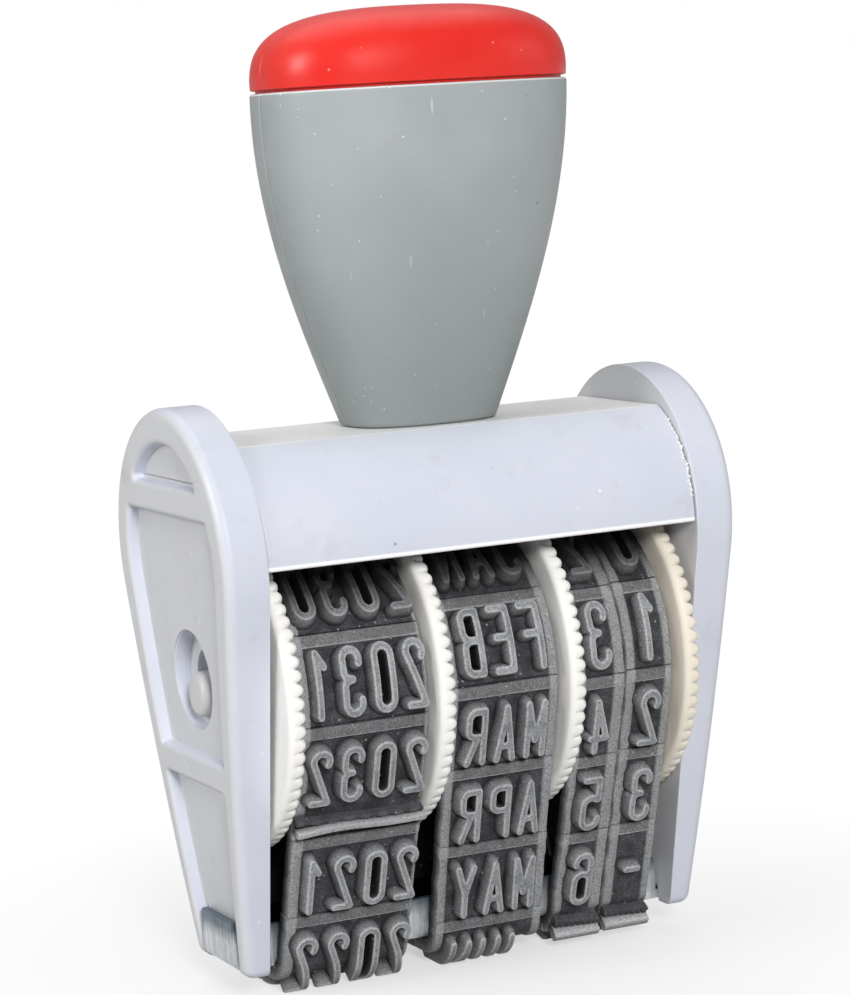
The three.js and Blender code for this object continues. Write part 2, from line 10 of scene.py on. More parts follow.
import bpy
import numpy as np
from bpy.types import GeometryNodeTree, Material, Mesh, Node, NodeSocket, NodeTree, Object
from mathutils import Matrix, Vector
from mathutils.geometry import tessellate_polygon


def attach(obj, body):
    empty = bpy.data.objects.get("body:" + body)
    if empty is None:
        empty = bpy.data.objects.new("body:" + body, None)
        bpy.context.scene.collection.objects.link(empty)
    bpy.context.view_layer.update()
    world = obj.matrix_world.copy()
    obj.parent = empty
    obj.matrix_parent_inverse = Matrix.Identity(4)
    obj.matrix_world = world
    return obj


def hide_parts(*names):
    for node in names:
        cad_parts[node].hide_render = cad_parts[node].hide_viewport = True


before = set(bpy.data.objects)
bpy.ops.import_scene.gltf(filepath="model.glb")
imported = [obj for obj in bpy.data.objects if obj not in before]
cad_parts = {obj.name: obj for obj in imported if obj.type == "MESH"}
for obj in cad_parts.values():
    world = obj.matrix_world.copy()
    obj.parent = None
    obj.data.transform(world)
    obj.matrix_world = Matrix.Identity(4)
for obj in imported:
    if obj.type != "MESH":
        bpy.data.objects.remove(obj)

LOG = logging.getLogger("date_stamp")
MM = 0.001
# A cut starts and ends this far outside what it cuts
OVERRUN = 1.0
# Radius below which a turned profile is on its axis
ON_AXIS = 1e-9
# Share of a pattern's specks that aren't fainter than the rest
STRONG_SHARE = 0.4

Point = tuple[float, float, float]
Flat = tuple[float, float]
Face = tuple[int, ...]
Lines = tuple[np.ndarray, np.ndarray]
Value = Node | NodeSocket | float | tuple[float, ...]


class Body(Enum):
    """Bodies that a piece rides on."""

    FRAME = "root"
    YEAR = "year_wheel"
    MONTH = "month_wheel"
    UNITS = "units_wheel"
    TENS = "tens_wheel"


class Slot(Enum):
    """Names of material slots."""

    FRAME = "frame_plastic"
    GRIP = "grip_plastic"
    CAP = "cap_plastic"
    WHEEL = "wheel_plastic"
    IVORY = "wheel_plastic_ivory"
    RUBBER = "type_rubber"
    STEEL = "steel"


class Caps(Enum):
    """How the two ends of a loft are closed."""

    FAN = "fan"
    STRIPS = "strips"
    JOINED = "joined"


class Joining(Enum):
    """What is done with a solid that meets another."""

    CUT = "DIFFERENCE"
    FUSE = "UNION"


# Meshes are made in millimetres, and settle() turns a finished one into metres


def lerp(a: float, b: float, share: float) -> float:
    """Value at a share of the way from a to b."""
    return a + (b - a) * share


def circle(steps: int, radius: float = 1.0) -> list[Flat]:
    """Points of a circle, anticlockwise from the first axis."""
    angles = [2 * pi * step / steps for step in range(steps)]
    return [(radius * cos(angle), radius * sin(angle)) for angle in angles]


def shares(steps: int) -> list[float]:
    """Shares from 0 to 1 in even steps."""
    return [step / steps for step in range(steps + 1)]


def link_object(name: str, data: bpy.types.ID) -> Object:
    """Makes an object and puts it in the scene.

    Args:
        name: Name of the object.
        data: Its mesh, curve, lamp or camera.

    Returns:
        The new object.
    """
    made = bpy.data.objects.new(name, data)
    bpy.context.scene.collection.objects.link(made)
    return made


def make_object(name: str, points: Sequence[Sequence[float]], faces: Sequence[Sequence[int]]) -> Object:
    """Makes a mesh object in the scene.

    Args:
        name: Name of the object and its mesh.
        points: Corners in millimetres.
        faces: Corner numbers of each face, anticlockwise from outside.

    Returns:
        The new object.
    """
    mesh = bpy.data.meshes.new(name)
    mesh.from_pydata([tuple(map(float, point)) for point in points], [], [tuple(face) for face in faces])
    mesh.validate()
    return link_object(name, mesh)


def discard(*objects: Object) -> None:
    """Removes helper objects and their data from the file.

    Args:
        objects: Objects that have done their work.
    """
    for used in objects:
        data = used.data
        bpy.data.objects.remove(used)
        (bpy.data.meshes if isinstance(data, Mesh) else bpy.data.curves).remove(data)


def freeze(piece: Object) -> None:
    """Turns what the modifiers of a piece make into its plain mesh, and removes them.

    Args:
        piece: Piece to change.
    """
    graph = bpy.context.evaluated_depsgraph_get()
    graph.update()
    seen = piece.evaluated_get(graph)
    made = bpy.data.meshes.new_from_object(seen, preserve_all_data_layers=True, depsgraph=graph)
    old = piece.data
    piece.modifiers.clear()
    piece.data = made
    bpy.data.meshes.remove(old)
    made.name = piece.name


def combine(piece: Object, tool: Object, joining: Joining = Joining.CUT) -> None:
    """Cuts one closed solid out of another, or fuses it on, and discards it.

    Args:
        piece: Solid to change.
        tool: Solid that is cut out or fused on.
        joining: Which of the two is done.
    """
    step = piece.modifiers.new("combine", "BOOLEAN")
    step.operation = joining.value
    step.solver = "MANIFOLD"
    step.object = tool
    freeze(piece)
    discard(tool)


def soften(piece: Object, radius: float, segments: int, angle: float, weld_reach: float = 0.004) -> None:
    """Rounds the sharp edges of a piece, as a mould does.

    Args:
        piece: Piece to change.
        radius: Radius of the rounding in millimetres.
        segments: Facets across each rounding.
        angle: Least angle between two faces, in degrees, that counts as an edge.
        weld_reach: Distance within which points are first merged, in millimetres.
    """
    weld = piece.modifiers.new("weld", "WELD")
    weld.merge_threshold = weld_reach
    rounding = piece.modifiers.new("rounding", "BEVEL")
    rounding.width = radius
    rounding.segments = segments
    rounding.limit_method = "ANGLE"
    rounding.angle_limit = radians(angle)
    rounding.use_clamp_overlap = False
    freeze(piece)


def settle(
    piece: Object, finish: Material, node: str = "", crease: float = 42, body: Body = Body.FRAME
) -> None:
    """Brings a piece to metres, dresses it, hangs it on the body that carries it and hides the CAD node that
    it replaces.

    Args:
        piece: Finished piece in millimetres, with no modifiers left.
        finish: Material of the whole piece.
        node: Name of the CAD node that it replaces, if any.
        crease: Angle in degrees from which an edge is drawn sharp.
        body: Body that carries it.
    """
    mesh = piece.data
    mesh.transform(Matrix.Scale(MM, 4))
    mesh.materials.clear()
    mesh.materials.append(finish)
    mesh.shade_smooth()
    mesh.set_sharp_from_angle(angle=radians(crease))
    mesh.update()
    # Large faces keep their own normal, so that cuts leave no shadows on them
    normals = piece.modifiers.new("normals", "WEIGHTED_NORMAL")
    normals.keep_sharp = True
    freeze(piece)
    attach(piece, body.value)
    if node:
        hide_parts(node)
    LOG.info("%s: %d faces, %s on %s", piece.name, len(piece.data.polygons), finish.name, body.value)


def bridge(first: int, count: int, rings: int, closed: bool = False) -> list[Face]:
    """Faces between rings of points that follow each other in a list.

    Args:
        first: Number of the first ring's first point.
        count: Points in each ring.
        rings: Number of rings.
        closed: True if the last ring joins the first.

    Returns:
        Quads that face outwards where each ring is anticlockwise about the way the rings go.
    """
    faces = []
    for ring in range(rings if closed else rings - 1):
        low, high = (first + number % rings * count for number in (ring, ring + 1))
        for step in range(count):
            after = (step + 1) % count
            faces.append((low + step, low + after, high + after, high + step))
    return faces


def loft(name: str, rings: Sequence[Sequence[Point]], caps: Caps = Caps.FAN) -> Object:
    """Closed body through rings of points.

    Args:
        name: Name of the object.
        rings: Rings with the same number of points, each anticlockwise about the way the rings go.
        caps: How the ends are closed: by a fan each, by strips across symmetric rings, or to each other.

    Returns:
        The new object.
    """
    count = len(rings[0])
    points = [point for ring in rings for point in ring]
    faces = bridge(0, count, len(rings), closed=caps is Caps.JOINED)
    for first, outward in ((0, False), ((len(rings) - 1) * count, True)):
        if caps is Caps.JOINED:
            break
        if caps is Caps.STRIPS:
            end = []
            for step in range(count // 2):
                corners = [step, step + 1, count - step - 1, (count - step) % count]
                end.append(tuple(first + corner for corner in dict.fromkeys(corners)))
        else:
            hub = len(points)
            points.append(tuple(np.array(points[first : first + count]).mean(axis=0)))
            end = [(first + step, first + (step + 1) % count, hub) for step in range(count)]
        faces.extend(end if outward else [tuple(reversed(face)) for face in end])
    return make_object(name, points, faces)


def block(name: str, low: Point, high: Point) -> Object:
    """Box between two corners, used to cut with."""
    (x0, y0, z0), (x1, y1, z1) = low, high
    return loft(name, [[(x0, y0, z), (x1, y0, z), (x1, y1, z), (x0, y1, z)] for z in (z0, z1)])


def rod(name: str, radius: float, start: float, end: float, height: float, steps: int) -> Object:
    """Round bar along X from one place to a further one, at a height."""
    return loft(name, [[(x, y, height + z) for y, z in circle(steps, radius)] for x in (start, end)])


def turned(
    name: str, profile: Sequence[Flat], height: float, steps: int, start: float = 0.0, way: int = 1
) -> Object:
    """Body turned about a line along X, from a closed profile or one that starts and ends on the axis.

    Args:
        name: Name of the object.
        profile: (radius, distance along the axis) points, with the solid on their left.
        height: Height of the axis.
        steps: Facets round the axis.
        start: Place along X from which the distances count.
        way: 1 if they count to the right, and -1 to the left.

    Returns:
        The new object.
    """
    line = [(distance, circle(steps, radius)) for radius, distance in profile if radius > ON_AXIS]
    rings = [[(start + way * distance, y, height + z) for y, z in ring] for distance, ring in line]
    return loft(name, rings, Caps.JOINED if len(rings) == len(profile) else Caps.FAN)


def rounded(corners: Sequence[Point], steps: int, closed: bool = True) -> list[Flat]:
    """Polyline with its corners rounded.

    Args:
        corners: (across, along, radius) of each corner.
        steps: Facets in each rounding.
        closed: True if the last corner joins the first.

    Returns:
        Points of the rounded line.
    """
    line: list[Flat] = []
    total = len(corners)
    for number, (a, b, radius) in enumerate(corners):
        here = Vector((a, b))
        if radius <= 0 or (not closed and number in (0, total - 1)):
            line.append((a, b))
            continue
        before = (Vector(corners[number - 1][:2]) - here).normalized()
        after = (Vector(corners[(number + 1) % total][:2]) - here).normalized()
        half = before.angle(after) / 2
        reach = radius / tan(half)
        centre = here + (before + after).normalized() * (radius / sin(half))
        start = here + before * reach - centre
        sweep = start.angle_signed(here + after * reach - centre)
        for step in range(steps + 1):
            spoke = start.copy()
            spoke.rotate(Matrix.Rotation(-sweep * step / steps, 2))
            line.append(tuple(centre + spoke))
    return line


# Nodes

MATH = "ShaderNodeMath"
VECTOR_MATH = "ShaderNodeVectorMath"
RANGE = "ShaderNodeMapRange"
MIX = "ShaderNodeMix"
AXES = "ShaderNodeSeparateXYZ"
NOISE = "ShaderNodeTexNoise"
OBJECT_SHAPE = "GeometryNodeObjectInfo"
WHITE = (1.0, 1.0, 1.0, 1.0)


def linear(colour: str) -> tuple[float, ...]:
    """Linear colour of an sRGB hex value such as "#cfd3e2"."""
    channels = (int(colour[place : place + 2], 16) / 255 for place in (1, 3, 5))
    return (*(c / 12.92 if c <= 0.04045 else ((c + 0.055) / 1.055) ** 2.4 for c in channels), 1.0)


class Graph:
    """Node tree that is being wired."""

    def __init__(self, tree: NodeTree) -> None:
        """Starts with an empty tree."""
        tree.nodes.clear()
        self.tree = tree

    def add(self, kind: str, inputs: Sequence[Value] | dict = (), **settings: object) -> Node:
        """Adds a node with its settings and links.

        Args:
            kind: Type name of the node.
            inputs: What goes into its sockets, in their order, or by their names or numbers. Another
                node stands for its first output that is in use.
            settings: Properties of the node.

        Returns:
            The new node.
        """
        node = self.tree.nodes.new(kind)
        for name, value in settings.items():
            setattr(node, name, value)
        for name, value in (inputs if isinstance(inputs, dict) else dict(enumerate(inputs))).items():
            if isinstance(value, Node):
                value = next(socket for socket in value.outputs if socket.enabled)
            if isinstance(value, NodeSocket):
                self.tree.links.new(value, node.inputs[name])
            else:
                node.inputs[name].default_value = value
        return node


class PieceNodes(Graph):
    """Geometry nodes that make one piece out of another."""

    def __init__(self, name: str, inputs: dict[str, str]) -> None:
        """Starts a tree.

        Args:
            name: Name of the tree.
            inputs: Kind of each input besides Geometry and Material, by its name.
        """
        super().__init__(bpy.data.node_groups.new(name, "GeometryNodeTree"))
        sockets = self.tree.interface
        for label, kind in {"Geometry": "Geometry", **inputs, "Material": "Material"}.items():
            sockets.new_socket(label, in_out="INPUT", socket_type="NodeSocket" + kind)
        sockets.new_socket("Geometry", in_out="OUTPUT", socket_type="NodeSocketGeometry")
        self.given = self.add("NodeGroupInput").outputs

    def finish(self, shape: Node) -> GeometryNodeTree:
        """Ends the tree: makes instances real and sets the material.

        Args:
            shape: Node whose first output is the whole geometry.

        Returns:
            The finished tree.
        """
        real = self.add("GeometryNodeRealizeInstances", [shape])
        inputs = {"Geometry": real, "Material": self.given["Material"]}
        self.add("NodeGroupOutput", [self.add("GeometryNodeSetMaterial", inputs)])
        return self.tree


def apply_tree(piece: Object, tree: GeometryNodeTree, values: dict[str, object]) -> None:
    """Runs geometry nodes on a piece and keeps what they make as its plain mesh.

    Args:
        piece: Piece to change.
        tree: Tree to run.
        values: Value of each named input.
    """
    modifier = piece.modifiers.new(tree.name, "NODES")
    modifier.node_group = tree
    for item in tree.interface.items_tree:
        if item.item_type == "SOCKET" and item.in_out == "INPUT" and item.name in values:
            modifier[item.identifier] = values[item.name]
    freeze(piece)


# Finishes


class Paint(Graph):
    """Material whose colour is laid on in layers, with patterns in object coordinates."""

    def __init__(self, name: str, ground: str) -> None:
        """Starts a material.

        Args:
            name: Name of the material.
            ground: Its plain colour, as an sRGB hex value.
        """
        self.material = bpy.data.materials.new(name)
        self.material.use_nodes = True
        super().__init__(self.material.node_tree)
        self.where = self.add("ShaderNodeTexCoord").outputs
        self.place = self.where["Object"]
        self.spot = self.add(AXES, [self.place]).outputs
        self.colour: Value = linear(ground)

    def layer(self, colour: str | Node, *shares: Value | tuple[Value, ...]) -> None:
        """Lays a colour over what is there.

        Args:
            colour: sRGB hex value, or a node that gives the colour.
            shares: Factors of its strength. A tuple holds a value, where on it the factor is least
                and greatest, and then those two limits, if they aren't 0 and 1.
        """
        factors = [self.add(RANGE, share) if isinstance(share, tuple) else share for share in shares]
        strength = factors[0]
        for factor in factors[1:]:
            strength = self.add(MATH, (strength, factor), operation="MULTIPLY")
        over = linear(colour) if isinstance(colour, str) else colour
        self.colour = self.add(MIX, {0: strength, 6: self.colour, 7: over}, data_type="RGBA")

    def pattern(self, kind: str, size: float, place: Node | None = None, **inputs: float) -> Node:
        """Texture with cells of a width in millimetres, in the object's own coordinates or others."""
        return self.add(kind, {"Vector": place or self.place, "Scale": 1 / (size * MM), **inputs})

    def specks(
        self, size: float, radius: float, share: float, place: Node | None = None, core: float = 0.45
    ) -> Node:
        """Round dots in some of the cells of a scattered pattern.

        Args:
            size: Width of a cell in millimetres.
            radius: Radius of a dot as a share of the cell.
            share: Share of the cells that have a dot.
            place: Coordinates, if they aren't the object's own.
            core: Share of a dot's radius that has its full strength.

        Returns:
            1 on the dots and 0 between them.
        """
        cells = self.pattern("ShaderNodeTexVoronoi", size, place, Randomness=1.0).outputs
        pick = self.add("ShaderNodeSeparateColor", [cells["Color"]]).outputs["Red"]
        near = self.add(RANGE, (cells["Distance"], radius, radius * core))
        chosen = self.add(RANGE, (pick, 1 - share, 1 - share * STRONG_SHARE))
        return self.add(MATH, (near, chosen), operation="MULTIPLY")

    def finish(self, relief: Node, strength: float, depth: float, surface: dict[str, Value]) -> Material:
        """Wires the colour, a fine relief and the other values of the surface.

        Args:
            relief: Height of the relief, from 0 to 1.
            strength: Strength of the relief.
            depth: Depth of the relief in millimetres.
            surface: Value of each further input of the shader.

        Returns:
            The finished material.
        """
        bump = self.add("ShaderNodeBump", {"Height": relief, "Strength": strength, "Distance": depth * MM})
        shader = self.add("ShaderNodeBsdfPrincipled", {"Base Color": self.colour, "Normal": bump, **surface})
        self.add("ShaderNodeOutputMaterial", {"Surface": shader})
        return self.material


@dataclass(frozen=True)
class MouldedPlastic:
    """Injection-moulded plastic that has been handled: dust specks, pinholes, nicks and grime, and painted
    light and shade on some faces.
    """

    name: str
    colour: str
    flow_colour: str
    side_colour: str = ""
    top_colour: str = ""
    roughness: float = 0.42
    ior: float = 1.54
    flow_size: float = 9
    grime_size: float = 3.2
    pore_size: float = 0.5
    dust_colour: str = "#ffffff"
    dust_size: float = 1.1
    dust_share: float = 0.3
    dust_strength: float = 0.6
    hole_colour: str = "#4d4f55"
    hole_size: float = 3.4
    hole_strength: float = 0.7
    grime_colour: str = "#8f8a84"
    grime_strength: float = 0.25
    top_grime_strength: float = 0.55
    nick_size: float = 1.2
    nick_slant: float = 0.45
    nick_share: float = 0.14
    nick_strength: float = 0.3
    pore_depth: float = 0.004
    specular: float = 0.5
    worn_heights: Flat = (0.0, 0.0)
    worn_strength: float = 1.0
    handled_colour: str = ""
    handled_heights: Flat = (0.0, 0.0)

    def build(self) -> Material:
        """Makes the material.

        Returns:
            The material.
        """
        paint = Paint(self.name, self.colour)
        facing = paint.add(AXES, [paint.where["Normal"]]).outputs
        height = paint.spot["Z"]
        # Slow drift of the colour where the melt flowed, over about a centimetre
        flow = paint.pattern(NOISE, self.flow_size, Detail=3.0, Roughness=0.55)
        paint.layer(self.flow_colour, (flow, 0.35, 0.7))
        # Painted light: faces that look sideways take the tint of the light from the side, and those that
        # look up are painted whiter, partly for dust and partly as painted light
        if self.side_colour:
            sideways = paint.add(MATH, [facing["X"]], operation="ABSOLUTE")
            paint.layer(self.side_colour, (sideways, 0.5, 0.9))
        if self.top_colour:
            top = (facing["Z"], 0.9, 0.98)
            paint.layer(self.top_colour, top)
            paint.layer(self.grime_colour, top, self.top_grime_strength, paint.specks(0.5, 0.16, 0.4))
        # Grime in faint patches of a few millimetres
        patches = paint.pattern(NOISE, self.grime_size, Detail=6.0, Roughness=0.7)
        paint.layer(self.grime_colour, (patches, 0.58, 0.8, 0.0, self.grime_strength))
        # Pale specks and short slanted nicks
        turn, stretch = (0.0, self.nick_slant, 0.0), (1.0, 1.0, 0.16)
        slanted = paint.add("ShaderNodeMapping", {"Vector": paint.place, "Rotation": turn, "Scale": stretch})
        dust = paint.specks(self.dust_size, 0.11, self.dust_share)
        nick = paint.specks(self.nick_size, 0.1, self.nick_share, slanted)
        paint.layer(self.dust_colour, dust, self.dust_strength)
        paint.layer(self.dust_colour, nick, self.nick_strength)
        # Dark pinholes: a few of a fifth of a millimetre, and more that are half as wide
        for size, radius in ((self.hole_size, 0.034), (self.hole_size * 0.45, 0.036)):
            paint.layer(self.hole_colour, paint.specks(size, radius, 0.5), self.hole_strength)
        # Painted shade: the grip is painted darker towards its foot, with pale lint specks there
        if self.handled_colour:
            low, high = (edge * MM for edge in self.handled_heights)
            paint.layer(self.handled_colour, (height, high, low))
            held = (height, lerp(low, high, 0.55), low, 0.0, self.dust_strength)
            paint.layer(self.dust_colour, paint.specks(self.dust_size * 0.5, 0.13, 0.3), held)
        # A pale line painted along the edges at one height; on the shell's lower edge it is a painted
        # highlight
        if self.worn_heights[0]:
            low, high = (edge * MM for edge in self.worn_heights)
            uneven = (patches, 0.2, 0.4, 0.0, self.worn_strength)
            paint.layer(self.dust_colour, (height, low, high), uneven, (facing["Z"], 0.97, 0.8))
        gloss = paint.add(RANGE, (patches, 0.3, 0.75, self.roughness - 0.05, self.roughness + 0.1))
        surface = {"Roughness": gloss, "IOR": self.ior, "Specular IOR Level": self.specular}
        pores = paint.pattern(NOISE, self.pore_size, Detail=4.0, Roughness=0.6)
        return paint.finish(pores, 0.5, self.pore_depth, surface)


@dataclass(frozen=True)
class TypeRubber:
    """Vulcanised rubber type: charcoal with pale bloom, worn light along the edges of the type.

    The mesh carries the colour attribute "zones": red for worn edges, green for the faces that
    print, and blue for the paler margins, or below zero where shade is painted in dark.
    """

    name: str = "vulcanised_type_rubber"
    ground: str = "#232427"
    ground_pale: str = "#515255"
    face: str = "#7c7e80"
    face_pale: str = "#a2a4a6"
    edge: str = "#c6c7c9"
    margin: str = "#979899"
    bloom: str = "#b9babc"
    pit: str = "#1a1b1c"
    crumb: str = "#c9cacb"
    ink: str = "#08080a"
    mottle_size: float = 1.4
    grain_size: float = 0.14
    grain_depth: float = 0.05
    crumb_size: float = 0.42
    sheltered: Flat = (27.4, 29.8)

    def build(self) -> Material:
        """Makes the material.

        Returns:
            The material.
        """
        paint = Paint(self.name, self.ground)
        zones = paint.add("ShaderNodeAttribute", attribute_name="zones").outputs["Color"]
        zone = paint.add("ShaderNodeSeparateColor", [zones]).outputs
        mottle = paint.pattern(NOISE, self.mottle_size, Detail=6.0, Roughness=0.7)
        grain = paint.pattern(NOISE, self.grain_size, Detail=3.0, Roughness=0.75)
        paint.layer(self.ground_pale, (mottle, 0.3, 0.75))
        paint.layer(self.margin, zone["Blue"])
        uneven = paint.add(RANGE, (mottle, 0.35, 0.65))
        tones = {0: uneven, 6: linear(self.face), 7: linear(self.face_pale)}
        paint.layer(paint.add(MIX, tones, data_type="RGBA"), zone["Green"])
        # Bloom breaks up into grains of about a seventh of a millimetre, and pits darken between them
        paint.layer(self.pit, (grain, 0.5, 0.36, 0.0, 0.5))
        raised = paint.add(MATH, (zone["Blue"], 0.25), operation="ADD")
        paint.layer(self.bloom, (grain, 0.52, 0.68, 0.0, 0.8), (mottle, 0.4, 0.6), raised)
        worn = paint.add(MATH, (paint.add(RANGE, (grain, 0.3, 0.55)), 0.15), operation="ADD")
        paint.layer(self.edge, worn, zone["Red"])
        # Painted shade where the zone's blue falls below zero
        paint.layer(self.ink, (zone["Blue"], 0.0, -1.0))
        # Bright crumbs of eraser and paper dust
        paint.layer(self.crumb, paint.specks(self.crumb_size, 0.22, 0.2, core=6 / 11), 0.6)
        # Painted shadow: below the edge of the shell the type is painted dark, most near the edge
        low, high = (edge * MM for edge in self.sheltered)
        paint.layer(self.ink, (paint.spot["Z"], low, high, 0.0, 0.93))
        surface = {"Roughness": 0.72, "IOR": 1.52, "Specular IOR Level": 0.45}
        return paint.finish(grain, 0.7, self.grain_depth, surface)


@dataclass(frozen=True)
class PlatedSteel:
    """Zinc-plated steel: a dull blue-white metal with drawn streaks and dark stains."""

    name: str
    colour: str = "#c4c8cc"
    stain_colour: str = "#6b6a66"
    stain: float = 0.6
    stain_size: float = 1.6
    roughness: float = 0.4
    metallic: float = 0.75
    streak_colour: str = "#f2f4f6"
    streak: float = 0.55
    streak_width: float = 0.25
    streak_depth: float = 0.02
    blued_colour: str = "#4f6270"
    blued_heights: Flat = (0.0, 0.0)
    ink: str = "#101112"
    inked_depths: Flat = (0.0, 0.0)
    inked_half_width: float = 16.5

    def build(self) -> Material:
        """Makes the material.

        Returns:
            The material.
        """
        paint = Paint(self.name, self.colour)
        blotch = paint.pattern(NOISE, self.stain_size, Detail=6.0, Roughness=0.7)
        drawn = paint.add("ShaderNodeMapping", {"Vector": paint.place, "Scale": (1.0, 1.0, 0.08)})
        streaks = paint.pattern(NOISE, self.streak_width, drawn, Detail=3.0, Roughness=0.5)
        paint.layer(self.stain_colour, (blotch, 0.5, 0.72, 0.0, self.stain))
        paint.layer(self.streak_colour, (streaks, 0.47, 0.62, 0.0, self.streak))
        # Painted shade: towards the upper edge the plating is painted a darker blue-grey
        if self.blued_heights[1]:
            low, high = (edge * MM for edge in self.blued_heights)
            paint.layer(self.blued_colour, (paint.spot["Z"], low, high, 0.0, 0.85))
        # Painted shade: what lies inside the belts is painted black, most towards the back
        if self.inked_depths[1]:
            near, far = (edge * MM for edge in self.inked_depths)
            half = self.inked_half_width * MM
            beside = paint.add(MATH, [paint.spot["X"]], operation="ABSOLUTE")
            paint.layer(self.ink, (paint.spot["Y"], near, far), (beside, half + MM, half))
        gloss = paint.add(RANGE, (blotch, 0.3, 0.7, self.roughness - 0.08, self.roughness + 0.2))
        return paint.finish(streaks, 0.3, self.streak_depth, {"Roughness": gloss, "Metallic": self.metallic})


# Frame


@dataclass
class StampSizes:
    """Sizes that more than one sub-assembly needs, in millimetres."""

    axle_height: float = 22.1
    arch_height: float = 31.85
    shell_top: float = 40.15
    disc_thickness: float = 1.35
    side_gap: float = 0.15
    stack_half: float = 16.325
    wheel_gap: float = 0.15
    lean: float = 1.05
    lowest_tooth: float = 10.4
    bore_radius: float = 1.73
    foot_height: float = 2.0
    cheek_top: float = 42.85
    foot_thickness: float = 1.85
    top_thickness: float = 3.26
    bow: float = 0.45
    recess_depth: float = 0.85

    def inner_face(self, z: float) -> float:
        """Distance of a cheek's inner face from the middle, at a height."""
        return self.stack_half + self.wheel_gap + (z - self.lowest_tooth) * tan(radians(self.lean))

    def outer_face(self, z: float) -> float:
        """Distance of a cheek's outer face from the middle. It bows out between its ends.

        Args:
            z: Height at which it is taken.

        Returns:
            The distance.
        """
        share = (z - self.foot_height) / (self.cheek_top - self.foot_height)
        bulge = 4 * self.bow * share * (1 - share)
        return self.inner_face(z) + lerp(self.foot_thickness, self.top_thickness, share) + bulge

    def web_face(self, z: float) -> float:
        """Distance of the recess's floor from the middle, at a height."""
        return self.outer_face(z) - self.recess_depth


@dataclass
class Pocket:
    """Convex outline that can be widened evenly, with its corners rounded as it grows."""

    corners: list[Flat]
    corner_round: float = 0.3
    fan: int = 5
    blunt: float = 15

    def ring(self, growth: float) -> list[Flat]:
        """Outline that stands outside the corners' own.

        Args:
            growth: Distance by which it does.

        Returns:
            Its points, as many for any growth.
        """
        line = [Vector(corner) for corner in self.corners]
        reach = self.corner_round + growth
        ring = []
        for number, here in enumerate(line):
            before = here - line[number - 1]
            after = line[(number + 1) % len(line)] - here
            first = Vector((before.y, -before.x)).normalized()
            last = Vector((after.y, -after.x)).normalized()
            miter = (first + last) / (1 + first.dot(last))
            start = here - miter * self.corner_round
            ways = [miter]
            if first.angle(last) >= radians(self.blunt):
                ways = [first.slerp(last, share) for share in shares(self.fan)]
            ring.extend(tuple(start + way * reach) for way in ways)
        return ring


